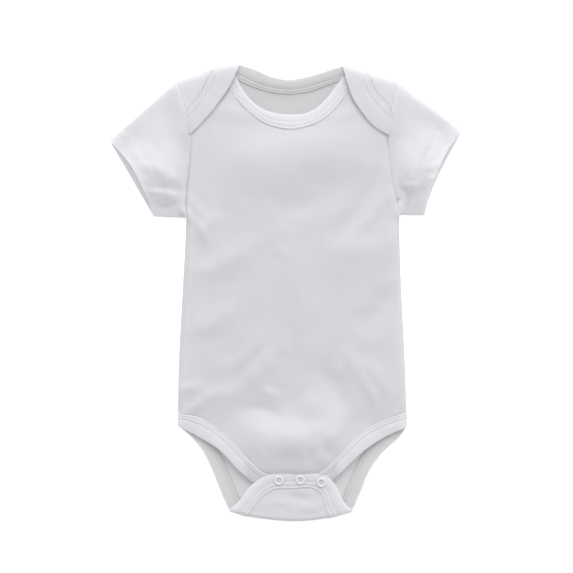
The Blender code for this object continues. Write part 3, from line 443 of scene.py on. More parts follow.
def backBandZ(x, y):
    flat = cloth["binding"] / 2 + bandLevels["floor"]
    atFold = (layers["seam"] - flat) * (1 - edgeRise(nearest(x, y, shoulderEdges + [crotchEdge])))
    atSide = (bandLevels["backEnd"] - flat) * (1 - edgeRise(nearest(x, y, sideEdges)))
    return flat + np.maximum(atFold, atSide)


def neckEdgeZ(x, y):
    return np.maximum(backBandZ(x, y), bandLevels["neckEdge"])


def neckSeamZ(x, y):
    return backBandZ(x, y) + bandLevels["neckSeam"]


def offSides(x, y):
    return smoothStep(nearest(x, y, sideEdges) / bandLevels["sideRun"])


def legEdgeZ(x, y):
    return backBandZ(x, y) + bandLevels["legEdge"] * ramp(y, *bandLevels["legEdgeRows"]) * offSides(x, y)


def frontBandZ(x, y):
    rise = edgeRise(nearest(x, y, sideEdges))
    return between(bandLevels["frontEnd"], coverZ(x, y) + bandLevels["front"], rise)


def frontLegEdgeZ(x, y):
    drop = bandLevels["frontLegEdge"] * offSides(x, y)
    return frontBandZ(x, y) - drop * ramp(y, *bandLevels["frontLegRows"])


def frontNeckZ(x, y):
    tuck = bandLevels["neckTuck"] * ramp(y, *bandLevels["neckTuckRows"])
    return coverZ(x, y) + bandLevels["frontNeck"] - tuck


def newGrid(mesh, points, uv):
    # a grid of squares, moved to the points, with a map in millimetres of cloth
    rows, columns = points.shape[:2]
    made = bmesh.ops.create_grid(mesh, x_segments=rows - 1, y_segments=columns - 1, size=0.5)
    layer = mesh.loops.layers.uv.get("cloth") or mesh.loops.layers.uv.new("cloth")
    place = {}
    for vertex in made["verts"]:
        row, column = (vertex.co.x + 0.5) * (rows - 1), (vertex.co.y + 0.5) * (columns - 1)
        place[vertex] = (round(row), round(column))
    for face in {f for v in made["verts"] for f in v.link_faces}:
        for loop in face.loops:
            loop[layer].uv = uv[place[loop.vert]]
    for vertex, (row, column) in place.items():
        vertex.co = points[row, column] * mm


def addObject(name, data):
    made = bpy.data.objects.new(name, data)
    bpy.context.scene.collection.objects.link(made)
    return made


def finishMesh(name, mesh, *found):
    bmesh.ops.remove_doubles(mesh, verts=mesh.verts, dist=1e-6)
    bmesh.ops.recalc_face_normals(mesh, faces=mesh.faces)
    data = bpy.data.meshes.new(name)
    mesh.to_mesh(data)
    mesh.free()
    data.shade_smooth()
    for look in found:
        data.materials.append(look)
    return addObject(name, data)


def giveWall(piece, thickness, group=None):
    solid = piece.modifiers.new("wall", "SOLIDIFY")
    solid.thickness = thickness * mm
    solid.offset = 0.0
    if group:
        solid.vertex_group = group
    return solid


def spread(stops, spacing, bend):
    # shares from 0 to 1, close together in the roll at both ends and no further apart than the spacing
    marks = sorted({bend * (1 - math.cos(math.radians(turn))) for turn in range(0, 91, 15)})
    between = [stop for stop in stops if 2 * bend < stop < 1 - 2 * bend]
    marks = sorted(set(marks + [1 - mark for mark in marks] + between))
    found = []
    for low, high in zip(marks, marks[1:]):
        count = max(1, math.ceil((high - low) / spacing - 1e-6))
        found.extend(np.linspace(low, high, count + 1)[:-1])
    return np.array(found + [1.0])


def sideLine(armhole, side, topY, bend, down):
    # the points of a panel's side, with the underarm's corner at the share called bend
    line = np.concatenate([paths[armhole], paths[side][1:]])
    cornerY, endY = lines[side][0][1], lines[side][-1][1]
    above = topY + (cornerY - topY) * down / bend
    below = cornerY + (endY - cornerY) * (down - bend) / (1 - bend)
    y = np.where(down < bend, above, below)
    return np.stack([np.interp(y, line[::-1, 1], line[::-1, 0]), y], axis=-1)


def rowOn(line, across):
    x = between(line[0, 0], line[-1, 0], across)
    return np.stack([x, np.interp(x, line[:, 0], line[:, 1])], axis=-1)


def panelPlan(kind, top, bottom, stops, step, rowStep, rowBend):
    # points of a panel between its four edges, and their shares across
    width, height = top[-1, 0] - top[0, 0], top[0, 1] - corners["hipLeft"][1]
    bend = (top[0, 1] - corners["underarmLeft"][1]) / height
    corner = [bend - above / height for above in cloth["cornerRows"]]
    across = spread(stops, step / width, layers["reach"] / width)
    down = spread(corner, rowStep / height, rowBend / height)
    left = sideLine("armhole" + kind + "Left", "sideLeft", top[0, 1], bend, down)
    right = sideLine("armhole" + kind + "Right", "sideRight", top[-1, 1], bend, down)
    topRow, bottomRow = rowOn(top, across), rowOn(bottom, across)
    u, v = across[None, :, None], down[:, None, None]
    upper = (1 - u) * topRow[0] + u * topRow[-1]
    lower = (1 - u) * bottomRow[0] + u * bottomRow[-1]
    crosswise = (1 - v) * topRow[None] + v * bottomRow[None]
    lengthwise = (1 - u) * left[:, None] + u * right[:, None]
    return crosswise + lengthwise - (1 - v) * upper - v * lower, across


def withHeight(plan, height):
    return np.concatenate([plan, height(plan[..., 0], plan[..., 1])[..., None]], axis=-1)


def operators(operation):
    # an operator between wires or numbers, and its reflection
    return (
        lambda wire, other: wire.maths(operation, wire, other),
        lambda wire, other: wire.maths(operation, other, wire))


class Wire:
    # a socket that can be reckoned with
    def __init__(self, look, socket):
        self.look, self.socket = look, socket

    def maths(self, operation, *values):
        return self.look.node("ShaderNodeMath", {"operation": operation}, dict(enumerate(values)))

    def __abs__(self):
        return self.maths("ABSOLUTE", self)

    __add__, __radd__ = operators("ADD")
    __sub__, __rsub__ = operators("SUBTRACT")
    __mul__, __rmul__ = operators("MULTIPLY")
    __truediv__, __rtruediv__ = operators("DIVIDE")
    __pow__, __rpow__ = operators("POWER")


class Look:
    def __init__(self, name, **constant):
        self.material = bpy.data.materials.new(name)
        self.material.use_nodes = True
        self.tree = self.material.node_tree
        self.shader = self.tree.nodes["Principled BSDF"]
        for key, value in constant.items():
            self.shader.inputs[key.replace("_", " ")].default_value = value

    def node(self, kind, settings=None, values=None, output=0):
        made = self.tree.nodes.new(kind)
        for key, value in (settings or {}).items():
            setattr(made, key, value)
        for key, value in (values or {}).items():
            if isinstance(value, Wire):
                self.tree.links.new(value.socket, made.inputs[key])
            else:
                made.inputs[key].default_value = value
        return Wire(self, made.outputs[output])

    def noise(self, place, scale, detail, **more):
        values = {"Vector": place, "Scale": scale, "Detail": detail, **more}
        return self.node("ShaderNodeTexNoise", {}, values)

    def blend(self, share, first, second):
        first, second = (tone if isinstance(tone, Wire) else (*tone, 1.0) for tone in (first, second))
        return self.node("ShaderNodeMix", {"data_type": "RGBA"}, {0: share, 6: first, 7: second}, 2)

    def bump(self, strength, distance, height):
        values = {"Strength": strength, "Distance": distance, "Height": height}
        self.feed("Normal", self.node("ShaderNodeBump", {}, values))

    def feed(self, name, wire):
        self.tree.links.new(wire.socket, self.shader.inputs[name])


jersey = {"wale": 0.9, "course": 0.8, "roughness": 0.95}  # a stitch's width and height in millimetres
rib = {"wale": 0.8, "course": 0.7, "roughness": 0.92}
knit = {
    "wobble": 0.5, "slant": 0.9, "turn": 6.2832, "bump": 0.45, "bumpDepth": 0.0002, "innerThin": 0.3,
    "through": (0.9, 0.9, 0.91, 1.0),  # thin cotton lets some light through, so the inside isn't dark
}


def knitLook(name, pale, dark, wale, course, roughness, thin=0.5, inner=None, below=None):
    look = Look(name, Sheen_Weight=0.2, Sheen_Roughness=0.5, Specular_IOR_Level=0.2)
    uv = look.node("ShaderNodeUVMap", {"uv_map": "cloth"})
    wobble = look.noise(uv, 0.35, 2.0)
    split = look.node("ShaderNodeSeparateXYZ", {}, {"Vector": uv}).socket.node
    turned, v = Wire(look, split.outputs[0]), Wire(look, split.outputs[1])
    u = turned + (wobble - 0.5) * knit["wobble"]
    column = abs(u.maths("FRACT", u / wale) - 0.5)
    row = v / course + column * knit["slant"]
    leg = 1.0 - abs(column - 0.25) * 4.0
    bulge = row.maths("SINE", row * knit["turn"]) * 0.5 + 0.5
    loop = leg**0.7 * (bulge * 0.5 + 0.5)
    fibre = look.noise(uv, 3.1, 4.0, Roughness=0.65)
    cloud = look.noise(uv, 0.05, 3.0)
    height = loop * 0.75 + fibre * 0.45
    colour = look.blend(loop * 0.35 + fibre * 0.35 + cloud * 0.5, dark, pale)
    # inner darkens the bindings' inner faces and below changes the inside's tone lengthwise: both are painted
    # shade, and on inner faces less light comes through as well
    for place, paintedShade, less in ((turned, inner, knit["innerThin"]), (v, below, 0.0)):
        if paintedShade:  # painted shade: another tone from one length on the cloth to another, standing in for the shade that falls inside the garment
            start, end, tone = paintedShade
            ends = {"Value": place, "From Min": start, "From Max": end}
            share = look.node("ShaderNodeMapRange", {"interpolation_type": "SMOOTHSTEP"}, ends)
            colour = look.blend(share, colour, tone)
            thin = thin - share * less if less else thin
    look.feed("Base Color", colour)
    look.feed("Roughness", roughness - fibre * 0.12)
    look.bump(knit["bump"], knit["bumpDepth"], height)
    through = look.node("ShaderNodeBsdfTranslucent", {}, {"Color": knit["through"]})
    faces = {0: thin, 1: Wire(look, look.shader.outputs[0]), 2: through}
    mixed = look.node("ShaderNodeMixShader", {}, faces)
    look.tree.links.new(mixed.socket, look.tree.nodes["Material Output"].inputs["Surface"])
    return look.material


def plainLook(name, scale, detail, tones, rough, roughChange, strength, **constant):
    # thread or enamel: a fine mottle in tone, roughness and height
    look = Look(name, **constant)
    mottle = look.noise(look.node("ShaderNodeTexCoord", {}, {}, 3), scale, detail)
    look.feed("Base Color", look.blend(mottle, *tones))
    look.feed("Roughness", rough + mottle * roughChange)
    look.bump(strength, 0.0001, mottle)
    return look.material


# Painted shade: the garment's inside and the bindings' inner faces are the same white knit as the outside,
# given darker tones for the shade that falls inside it; the inside is darkest at the neck and lighter towards
# the legs.
insideShadeNearLegs, neckInsidePaintedShade, legInsidePaintedShade = (0.67, 0.667, 0.673), (0.50, 0.498, 0.503), (0.52, 0.518, 0.523)
looks = {
    "knit": knitLook("bodyKnit", (0.77, 0.768, 0.796), (0.705, 0.703, 0.733), **jersey),
    # the inside of the back panel: a darker tone and less light through, painted shade
    "inside": knitLook(
        "insideKnitPaintedShade", (0.50, 0.498, 0.503), (0.44, 0.438, 0.443), **jersey, thin=0.36,
        below=(-90.0, -250.0, insideShadeNearLegs)),
    # the bindings are darkened on their inner faces: painted shade
    "neckBinding": knitLook(
        "neckBindingKnit", (0.845, 0.845, 0.88), (0.78, 0.78, 0.818), **rib, inner=(0.0, -3.0, neckInsidePaintedShade)),
    "legBinding": knitLook(
        "legBindingKnit", (0.90, 0.90, 0.935), (0.84, 0.84, 0.877), **rib, inner=(-0.5, 2.0, legInsidePaintedShade)),
    # The laps and sleeves are the same jersey as the front panel; their lighter tones are painted light.
    "lap": knitLook("lapKnitPaintedLight", (0.89, 0.89, 0.922), (0.83, 0.83, 0.865), **jersey),
    "sleeve": knitLook("sleeveKnitPaintedLight", (0.805, 0.805, 0.83), (0.745, 0.745, 0.772), **jersey),
    "binding": knitLook("bindingKnit", (0.85, 0.85, 0.87), (0.79, 0.79, 0.815), **rib),
    "thread": plainLook(
        "sewingThread", 2600.0, 2.0, ((0.64, 0.64, 0.67), (0.76, 0.76, 0.78)), 0.7, -0.2, 0.4,
        Sheen_Weight=0.2, Specular_IOR_Level=0.4),
    "enamel": plainLook(
        "snapEnamel", 900.0, 3.0, ((0.55, 0.55, 0.57), (0.61, 0.61, 0.625)), 0.28, 0.14, 0.15,
        Specular_IOR_Level=0.5, Coat_Weight=0.3, Coat_Roughness=0.12),
}
print("stage: looks made")


def sharesOf(line, *names):
    # how far across a line the corners lie
    return [(corners[name][0] - line[0, 0]) / (line[-1, 0] - line[0, 0]) for name in names]


def buildFront():
    top = joined("frontTabLeft", "frontNeckSeam", "frontTabRight")
    bottom = paths["frontLegSeam"].copy()
    inNeck = (top[:, 0] > corners["frontNeckLeft"][0]) & (top[:, 0] < corners["frontNeckRight"][0])
    top[inNeck, 1] += cloth["tuck"]
    bottom[:, 1] -= cloth["tuck"]
    stops = sharesOf(top, "frontNeckLeft", "frontNeckRight")
    plan, _ = panelPlan("Front", top, bottom, stops, cloth["step"], cloth["step"], frontPanel["rowBend"])
    mesh = bmesh.new()
    newGrid(mesh, withHeight(plan, frontZ), plan)
    piece = finishMesh("frontPanel", mesh, looks["knit"])
    giveWall(piece, cloth["wall"])
    return piece


def shareAcross(row):
    return (row[:, 0] - row[0, 0]) / (row[-1, 0] - row[0, 0])


def lapPoints(firstRow, armhole, seam):
    # from the shoulder fold down to where the armhole and the lap's binding meet
    hole = paths[armhole]
    hole = hole[hole[:, 1] >= lines[seam][-1][1]]
    share = shareAcross(firstRow)[:, None]
    rows = [firstRow]
    for down in laps["rows"]:
        outer, inner = along(hole, down), along(paths[seam], down)
        start, end = (outer, inner) if armhole == "armholeFrontLeft" else (inner, outer)
        rows.append(withHeight(between(start, end, share), lapClothZ))
    return np.array(rows)


def flapPoints(firstRow):
    # from the crotch fold up to the flap's top, bowed as both are
    share = shareAcross(firstRow)
    topRow = along(paths["flapTop"], share)
    bowLow, bowHigh = (row - between(row[0], row[-1], share[:, None]) for row in (firstRow[:, :2], topRow))
    rows = [firstRow]
    for up in flap["rows"]:
        start, end = along(paths["flapSideLeft"], up), along(paths["flapSideRight"][::-1], up)
        plan = between(start, end, share[:, None]) + bowLow * (1 - up) + bowHigh * up
        plan = plan + np.array([0.0, flap["tuck"]]) * ramp(up, flap["tuckFrom"], 1.0)
        edge = np.minimum(share, 1 - share) * flap["sideWidth"]
        outwards = np.sign(share - 0.5) * np.exp(-edge / flap["sideReach"])
        plan[:, 0] += flap["sideTuck"] * outwards * smoothStep(up / flap["sideFrom"])
        rows.append(withHeight(plan, flapClothZ))
    return np.array(rows)


def unrolled(points):
    # lengths on the cloth itself, so that the knit isn't stretched round a fold
    across = np.linalg.norm(np.diff(points, axis=1), axis=2)
    down = np.linalg.norm(np.diff(points, axis=0), axis=2)
    u = np.pad(np.cumsum(across, axis=1), ((0, 0), (1, 0)))
    v = np.pad(np.cumsum(down, axis=0), ((1, 0), (0, 0)))
    middle = points.shape[1] // 2
    return np.stack([u - u[:, middle : middle + 1], -v], axis=-1)


def buildBack():
    top = joined("shoulderFoldLeft", "backNeckSeam", "shoulderFoldRight")
    bottom = joined("backLegSeamLeft", "crotchFold", "backLegSeamRight")
    neck = sharesOf(top, "backNeckLeft", "backNeckRight")
    crotch = sharesOf(bottom, "crotchLeft", "crotchRight")
    steps = backPanel["step"], backPanel["rowStep"], layers["reach"]
    plan, across = panelPlan("Back", top, bottom, neck + crotch, *steps)
    sheet = withHeight(plan, backZ)
    neckAt, crotchAt = ([int(np.argmin(np.abs(across - s))) for s in stops] for stops in (neck, crotch))
    mesh = bmesh.new()
    for points in (
        sheet,
        lapPoints(sheet[0, : neckAt[0] + 1], "armholeFrontLeft", "lapSeamLeft"),
        lapPoints(sheet[0, neckAt[1] :], "armholeFrontRight", "lapSeamRight"),
        flapPoints(sheet[-1, crotchAt[0] : crotchAt[1] + 1]),
    ):
        newGrid(mesh, points, unrolled(points))
    piece = finishMesh("backPanel", mesh, looks["lap"], looks["inside"])
    giveWall(piece, cloth["wall"]).material_offset = 1
    return piece


pieces = {"front": buildFront(), "back": buildBack()}
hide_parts("front_body")
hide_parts("back_body")
print("stage: panels made")

sleeves = {
    "left": {
        "valley": (0.8, 3.2, 9.0),  # hollow beside the armhole: depth, more below, reach
        "folds": [
            (-120, 112, -90, 93, 5.2, 1.1, 1, 0), (-122, 88, -92, 84, 4.4, 1.5, 1, -0.4),
            (-134, 124, -118, 104, 4, 0.7, 0, 0), (-128, 146, -104, 138, 9, 0.6, 2, 0),
            (-112, 74, -94, 76, 3.4, -0.8, 0, 0)]},
    "right": {
        "valley": (0.8, 2.2, 10.0),
        "folds": [
            (120, 107, 137, 113, 2.6, 0.6, 0, 0), (122, 99, 136, 100, 2.6, 0.6, 0, 0),
            (101, 93, 116, 92, 5.5, 1, 1, -0.5), (112, 130, 134, 136, 8, 0.8, 2, 0),
            (97, 82, 99, 78, 2.4, -1.6, 0, 0), (104, 92, 105, 82, 2.6, -0.5, 0, 0)]},
    "rows": 38, "hemRows": 13, "around": 64, "roll": 0.055, "aboveHem": 0.5, "lastRow": 0.6, "hemEdge": 0.6,
    "profile": [  # share of the way from the shoulder to the underarm, height
        (0, 10.4), (0.18, 8.2), (0.36, 9.7), (0.58, 12.4), (0.67, 12.2), (0.79, 9.3), (1, 5.4)],
    "atHem": 0.72, "towardsHem": (0.4, 1.0),  # share of that height, and from where on the way out
    "crowns": [(3.2, 0.5, 0.23, 0.28, 0.58), (2.4, 0.36, 0.18, 0.5, 0.8)],  # height, place, reach, from, to
    "lifts": [(3.0, 116, 144), (1.2, 150, 180)], "liftOut": 0.4,  # at the shoulder: height, y from, to
    "leavesSeam": (0.04, 0.4), "fullness": 1.3, "ripples": [(0.6, 18.0, 12.5), (0.28, 8.0, 14.1)],
    "valleyRows": (152, 74), "underarmRows": (64, 78),
    "seam": {"groove": (0.5, 1.1), "roll": (0.3, 3.4, 1.8), "pucker": (0.7, 4.6, 15.5, 4.0)},
    "lessGroove": 0.2,  # shallower near the shoulder
    "hem": {"groove": (0.3, 1.6), "pucker": (0.5, 4.4, 18.5, 4.0)}, "hemSeam": 1.0, "hemStep": 0.12,
    "shoulderRoll": (6.0, 2.8), "sideRoll": (5.0, 2.0), "looseRoll": (7.0, -0.5), "looseFrom": 0.25,
    "under": {"hem": 0.65, "slope": 0.4, "wave": 0.4, "level": 0.4, "waves": [(1, 12, 8.8)], "folds": 0.4},
}


def sleeveLayer(armhole, hem, around):
    # points from the armhole to the hem, their share of the way out, and the length left to the hem
    inner, outer = along(paths[armhole][::-1], around), along(paths[hem][::-1], around)
    run = np.linalg.norm(outer - inner, axis=1)
    unit = (outer - inner) / run[:, None]
    depth = cloth["hemDepth"]
    rows = [(run - depth - sleeves["aboveHem"]) * share for share in np.linspace(0.0, 1.0, sleeves["rows"])]
    lefts = np.append(np.linspace(depth, sleeves["lastRow"], sleeves["hemRows"] - 1), 0.0)
    rows += [run - left for left in lefts]
    points = np.array([inner + unit * row[:, None] for row in rows])
    return points, np.array([row / run for row in rows]), np.array([run - row for row in rows])


def sleeveUnderZ(side, x, y, left):
    under, depth = sleeves["under"], cloth["hemDepth"]
    lowest = layers["back"] + under["hem"] * ramp(left, depth + under["slope"], depth - under["slope"])
    lowest = lowest + under["wave"] * np.clip(under["level"] + ripples(x, y, under["waves"]), 0.0, 1.0)
    lowest = lowest + under["folds"] * np.abs(foldHeight(x, y, sleeves[side]["folds"]))
    return between(layers["seam"], lowest, edgeRise(nearest(x, y, shoulderEdges + sideEdges)))


def sleeveFullness(side, x, y, out, share):
    # the height of the cloth without its seams
    lift = sum(height * ramp(y, *rows) for height, *rows in sleeves["lifts"])
    atSeam = coverZ(x, y) + lift * (1 - smoothStep(out / sleeves["liftOut"]))
    flatter = 1 - (1 - sleeves["atHem"]) * ramp(out, *sleeves["towardsHem"])
    rounded = between(layers["seam"], table(sleeves["profile"], share)[..., 0], flatter)
    height = between(atSeam, rounded, ramp(out, *sleeves["leavesSeam"]))
    for tall, place, reach, start, end in sleeves["crowns"]:
        height = height + tall * ramp(out, start, end) * bell(share - place, reach)
    height = height + sleeves["fullness"] * foldHeight(x, y, sleeves[side]["folds"])
    return height + ripples(x, y, sleeves["ripples"])


def sleeveOverZ(side, x, y, out, left):
    fromShoulder, fromUnderarm = nearest(x, y, shoulderEdges), nearest(x, y, sideEdges)
    height = sleeveFullness(side, x, y, out, fromShoulder / (fromShoulder + fromUnderarm + 1e-6))
    seam = toSeams(x, y, "armholeFront" + side.capitalize())
    upper, lower, reach = sleeves[side]["valley"]
    valley = (upper + lower * ramp(y, *sleeves["valleyRows"])) * bell(seam, reach)
    height = height - valley * ramp(y, *sleeves["underarmRows"])
    shallower = sleeves["lessGroove"] * ramp(y, *sleeves["lifts"][0][1:])
    height = height + shallower * bell(seam, sleeves["seam"]["groove"][1])
    stitched = np.abs(left - cloth["hemDepth"] + sleeves["hemSeam"])
    height = height + sewnIn(x, y, seam, **sleeves["seam"]) + sewnIn(x, y, stitched, **sleeves["hem"])
    height = height + sleeves["hemStep"] * smoothStep(cloth["hemDepth"] - left)
    loose = smoothStep(out / sleeves["looseFrom"])
    atSide = [firm + more * loose for firm, more in zip(sleeves["sideRoll"], sleeves["looseRoll"])]
    rise = np.minimum(edgeRise(fromShoulder, *sleeves["shoulderRoll"]), edgeRise(fromUnderarm, *atSide))
    return between(layers["seam"], height, rise)


def buildSleeve(side):
    name = side.capitalize()
    around = spread([], 1.0 / sleeves["around"], sleeves["roll"])
    under, _, underLeft = sleeveLayer("armholeBack" + name, "hemBack" + name, around)
    over, out, overLeft = sleeveLayer("armholeFront" + name, "hemFront" + name, around)
    under = withHeight(under, lambda x, y: sleeveUnderZ(side, x, y, underLeft))
    over = withHeight(over, lambda x, y: sleeveOverZ(side, x, y, out, overLeft))
    for end in (-1, 0):
        under[:, end] = over[:, end] = (under[:, end] + over[:, end]) / 2
    rings = np.concatenate([under, over[:, ::-1][:, 1:]], axis=1)
    mesh = bmesh.new()
    newGrid(mesh, rings, unrolled(rings)[..., ::-1])
    piece = finishMesh(side + "Sleeve", mesh, looks["sleeve"])
    # the hem is turned in, so its wall is thicker
    group = piece.vertex_groups.new(name="hem")
    places = {tuple(np.round(point, 3)): row for row, ring in enumerate(rings) for point in ring}
    firstHemRow = len(rings) - sleeves["hemRows"]
    for vertex in piece.data.vertices:
        row = places.get(tuple(np.round(np.array(vertex.co) / mm, 3)), 0)
        weight = 1.0 if row >= firstHemRow else cloth["wall"] / cloth["hemWall"]
        group.add([vertex.index], weight, "REPLACE")
    giveWall(piece, cloth["hemWall"], "hem")
    soft = piece.modifiers.new("hemEdge", "BEVEL")
    soft.width, soft.segments = sleeves["hemEdge"] * mm, 3
    soft.limit_method, soft.angle_limit = "ANGLE", math.radians(60)
    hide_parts("sleeve_" + side)
    return piece, over, overLeft


pieces["leftSleeve"], leftTop, leftLeft = buildSleeve("left")
pieces["rightSleeve"], rightTop, rightLeft = buildSleeve("right")
print("stage: sleeves made")

bands = {
    "station": 1.4, "samples": 260,  # length between rings, points read on each seam
    "stitchRows": (2.2, 5.8), "grooveWidth": 0.5,  # from the seam
    "foot": [(0.0, 0.3), (0.012, 0.75), (0.04, 1.08)],  # share of the width, level in half thicknesses
    "groove": [(-2.2, 1.12), (-1.0, 0.92), (0.0, 0.62), (1.0, 0.92), (2.2, 1.12)],
    "back": (0.4, 1.04), "fold": [(0.9, 0.98), (0.965, 0.75), (0.992, 0.4)],
    "threadLevel": 0.68, "pull": 0.14, "pitch": 2.8, "pulled": 0.3,
    "wave": (0.12, 9.0, 2.7), "lump": (0.2, 6.0, 1.7, 5.0),
}


def bandSection(width):
    # share of the width and level of both faces, from the seam to the folded edge and back
    narrow = bands["grooveWidth"] / width
    face = list(bands["foot"])
    for distance in bands["stitchRows"]:
        face += [(distance / width + off * narrow, level) for off, level in bands["groove"]]
    last, (share, level) = face[-1][0], bands["back"]
    face += [(between(last, 1, share), level)] + bands["fold"]
    return face + [(1.0, 0.0)] + [(share, -level) for share, level in face[::-1]]


def bandLines(runs):
    shares = np.linspace(0, 1, bands["samples"])
    seam, edge = (
        np.concatenate([withHeight(along(run[k], shares), run[k + 2]) for run in runs]) for k in (0, 1))
    run = runOf((seam + edge) / 2)
    at = np.linspace(0.0, run[-1], round(run[-1] / bands["station"]) + 1)
    seam, edge = pointsAt(seam, run, at), pointsAt(edge, run, at)
    ahead = np.gradient((seam + edge) / 2, axis=0)
    up = np.cross(ahead, edge - seam)
    return seam, edge, up / np.linalg.norm(up, axis=1)[:, None], at


def unevenness(at, height, size, second, third=0.0):
    return np.array([noise.noise(Vector((s / size, second, third))) for s in at]) * height


def buildBand(name, runs, node, look):
    seam, edge, up, at = bandLines(runs)
    width = float(np.median(np.linalg.norm(edge - seam, axis=1)))
    half = cloth["binding"] / 2
    wave = unevenness(at, *bands["wave"])
    pull = bands["pull"] * np.cos(at / bands["pitch"] * math.tau)
    tall, size, perShare, seed = bands["lump"]
    section = bandSection(width)
    rings = []
    for share, level in section + section[:1]:
        inGroove = any(abs(share * width - row) < bands["pulled"] for row in bands["stitchRows"])
        lift = level + (pull if inGroove else 0.0) * np.sign(level) + wave
        lift = lift + unevenness(at, tall, size, share * perShare, seed)
        rings.append(between(seam, edge, share) + up * (half * lift)[:, None])
    rings = np.array(rings).transpose(1, 0, 2)
    uv = unrolled(rings)
    uv[..., 1] = -at[:, None]
    mesh = bmesh.new()
    newGrid(mesh, rings, uv)
    bmesh.ops.remove_doubles(mesh, verts=mesh.verts, dist=1e-6)
    bmesh.ops.holes_fill(mesh, edges=[e for e in mesh.edges if e.is_boundary], sides=0)
    piece = finishMesh(name, mesh, looks[look])
    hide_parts(node)
    rows = []
    for distance in bands["stitchRows"]:
        line = seam + (edge - seam) * distance / width
        rows += [(line + up * face * half * bands["threadLevel"], up * face) for face in (1, -1)]
    return piece, rows, float(at[-1]), width


bandRuns = {  # node, look, what it lies on, and for each run its seam, its edge and their heights
    "frontNeckBinding": ("front_neck_binding", "binding", "frontPanel", [
        (paths["frontNeckSeam"], paths["frontNeckEdge"], frontNeckZ, frontNeckZ)]),
    "backNeckBinding": ("back_neck_binding", "neckBinding", "backPanel", [
        (paths["lapSeamLeft"][::-1], paths["lapEdgeLeft"][::-1], lapZ, lapZ),
        (paths["backNeckSeam"], paths["backNeckEdge"], neckSeamZ, neckEdgeZ),
        (paths["lapSeamRight"], paths["lapEdgeRight"], lapZ, lapZ)]),
    "frontLegBinding": ("front_leg_binding", "binding", "frontPanel", [
        (paths["frontLegSeam"], paths["frontLegEdge"], frontBandZ, frontLegEdgeZ)]),
    "backLegBinding": ("back_leg_binding", "legBinding", "backPanel", [
        (paths["backLegSeamLeft"], paths["backLegEdgeLeft"], backBandZ, legEdgeZ),
        (paths["flapSeam"], paths["flapEdge"], flapZ, flapZ),
        (paths["backLegSeamRight"], paths["backLegEdgeRight"], backBandZ, legEdgeZ)]),
}
sewn, bandSize = {}, {}
for name, (node, look, _, runs) in bandRuns.items():
    pieces[name], sewn[name], *bandSize[name] = buildBand(name, runs, node, look)
print("stage: bindings made")

stitch = {"first": 0.6, "length": 2.1, "gap": 2.8, "thick": 0.24, "around": 6, "rings": 5}
hemStitches = {"rows": (13.8, 16.6), "over": 0.02, "offFold": 1.0}  # rows from the hem's edge


def sewRow(line, up):
    row = bmesh.new()
    run = runOf(line)
    for start in np.arange(stitch["first"], run[-1] - stitch["length"], stitch["gap"]):
        ends = pointsAt(line, run, [start, start + stitch["length"]])
        lift = pointsAt(up, run, start)
        ahead = (ends[1] - ends[0]) / 2
        side = np.cross(lift, ahead / np.linalg.norm(ahead))
        columns = [side * stitch["thick"], lift * stitch["thick"], ahead, (ends[0] + ends[1]) / 2]
        place = Matrix([[mm * column[k] for column in columns] for k in range(3)] + [[0.0, 0.0, 0.0, 1.0]])
        bmesh.ops.create_uvsphere(
            row, u_segments=stitch["around"], v_segments=stitch["rings"], radius=1.0, matrix=place)
    return row


def sewRows(name, rows):
    mesh = bmesh.new()
    for line, up in rows:
        row, part = sewRow(line, up), bpy.data.meshes.new("row")
        row.to_mesh(part)
        row.free()
        mesh.from_mesh(part)
        bpy.data.meshes.remove(part)
    return finishMesh(name, mesh, looks["thread"])


def hemLine(points, left, distance):
    found = []
    for column in range(points.shape[1]):
        found.append([np.interp(-distance, -left[:, column], points[:, column, k]) for k in range(3)])
    return np.array(found)


def hemRow(points, left, distance):
    line = hemLine(points, left, distance)
    up = np.cross(np.gradient(line, axis=0), hemLine(points, left, distance - 1.0) - line)
    up *= np.sign(up[:, 2:]) / np.linalg.norm(up, axis=1)[:, None]
    keep = line[:, 2] > layers["seam"] + hemStitches["offFold"]
    return (line + up * (cloth["hemWall"] / 2 + hemStitches["over"]))[keep], up[keep]


pieces["neckStitches"] = sewRows("neckStitches", sewn["frontNeckBinding"] + sewn["backNeckBinding"])
pieces["legStitches"] = sewRows("legStitches", sewn["frontLegBinding"] + sewn["backLegBinding"])
for name, top, left in (("leftHemStitches", leftTop, leftLeft), ("rightHemStitches", rightTop, rightLeft)):
    pieces[name] = sewRows(name, [hemRow(top, left, distance) for distance in hemStitches["rows"]])
print("stage: stitches made")

snaps = {
    "left": (-6.2, -163.6), "middle": (12.6, -163.2), "right": (31.0, -165.4),
    "radius": 4.4, "bore": 2.0, "height": 1.0, "lip": 0.2, "sunk": 0.15, "squareness": 0.7,
    "seat": 1.06, "press": 0.05,  # share of the binding's half thickness, and how far it is pressed in
}


def turnRing(name, profile, x, y, look):
    mesh = bmesh.new()
    points = [mesh.verts.new((r * mm, 0.0, z * mm)) for r, z in profile]
    edges = [mesh.edges.new((a, b)) for a, b in zip(points, points[1:] + points[:1])]
    bmesh.ops.spin(
        mesh, geom=points + edges, cent=(0, 0, 0), axis=(0, 0, 1), angle=math.tau, steps=40, use_merge=True)
    bmesh.ops.remove_doubles(mesh, verts=mesh.verts, dist=1e-7)
    bmesh.ops.transform(mesh, matrix=Matrix.Translation((x * mm, y * mm, 0)), verts=mesh.verts)
    return finishMesh(name, mesh, look)


def buildCap(side):
    base = layers["flap"] + cloth["binding"] / 2 * snaps["seat"] - snaps["press"]
    outer, bore, lip = snaps["radius"], snaps["bore"], snaps["lip"]
    middle, half = (outer + bore) / 2, (outer - bore) / 2
    profile = []
    for turn in range(180, -1, -15):  # over the ring, from its bore outwards
        across, up = math.cos(math.radians(turn)), math.sin(math.radians(turn))
        profile.append((middle + half * across, base + snaps["height"] * up ** snaps["squareness"]))
    profile += [(outer - lip, base - snaps["sunk"]), (bore + lip, base - snaps["sunk"])]
    piece = turnRing("snapCap" + side.capitalize(), profile, *snaps[side], looks["enamel"])
    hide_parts("snap_cap_" + side)
    return piece


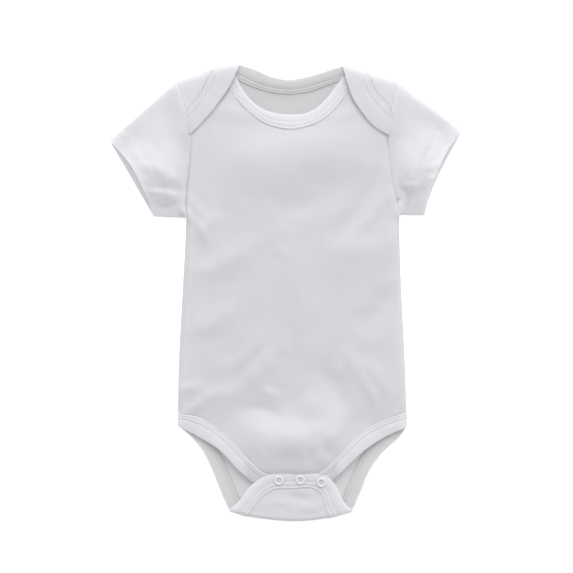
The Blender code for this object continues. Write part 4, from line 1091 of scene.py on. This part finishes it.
for side in ("left", "middle", "right"):
    pieces["snap" + side] = buildCap(side)
for name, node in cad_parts.items():
    if name.startswith("snap_") and not name.startswith("snap_cap"):
        for slot in node.material_slots:
            slot.material = looks["enamel"]
print("stage: snaps made")

for piece in pieces.values():
    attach(piece, "root")
studio = {
    "floor": 0.90, "floorSize": 3.0, "below": 0.0003, "glow": 0.45, "world": 0.65,
    "key": 446.0, "keyPlace": (0.55, 4.02, 4.2), "keySize": 6.2,
    "lens": 180.0, "sensor": 36.0, "camera": (0.0005, 0.0053, 2.508),
}


def buildFloor():
    mesh = bmesh.new()
    bmesh.ops.create_grid(mesh, x_segments=1, y_segments=1, size=studio["floorSize"])
    bmesh.ops.translate(mesh, vec=(0, 0, -studio["below"]), verts=mesh.verts)
    white = (1.0, 1.0, 1.0, 1.0)
    look = Look(
        "paleFloor", Roughness=0.9, Specular_IOR_Level=0.1, Emission_Color=white,
        Emission_Strength=studio["glow"])
    haze = look.noise(look.node("ShaderNodeTexCoord", {}, {}, 3), 3.0, 2.0)
    look.feed("Base Color", look.blend(haze, (studio["floor"],) * 3, (studio["floor"] + 0.01,) * 3))
    finishMesh("floor", mesh, look.material)


def buildLight():
    world = bpy.data.worlds.new("softRoom")
    world.use_nodes = True
    sky = world.node_tree.nodes["Background"]
    sky.inputs[0].default_value = (1.0, 1.0, 1.0, 1.0)
    sky.inputs[1].default_value = studio["world"]
    bpy.context.scene.world = world
    lamp = bpy.data.lights.new("keyLight", "AREA")
    lamp.energy, lamp.size = studio["key"], studio["keySize"]
    key = addObject("keyLight", lamp)
    key.location = studio["keyPlace"]
    key.rotation_euler = (-Vector(studio["keyPlace"])).to_track_quat("-Z", "Y").to_euler()


def buildCamera():
    eye = bpy.data.cameras.new("camera")
    eye.lens, eye.sensor_width = studio["lens"], studio["sensor"]
    camera = addObject("camera", eye)
    camera.location = studio["camera"]
    bpy.context.scene.camera = camera


buildFloor()
buildLight()
buildCamera()
bpy.context.scene.view_settings.view_transform = "Standard"
print("stage: scene ready")
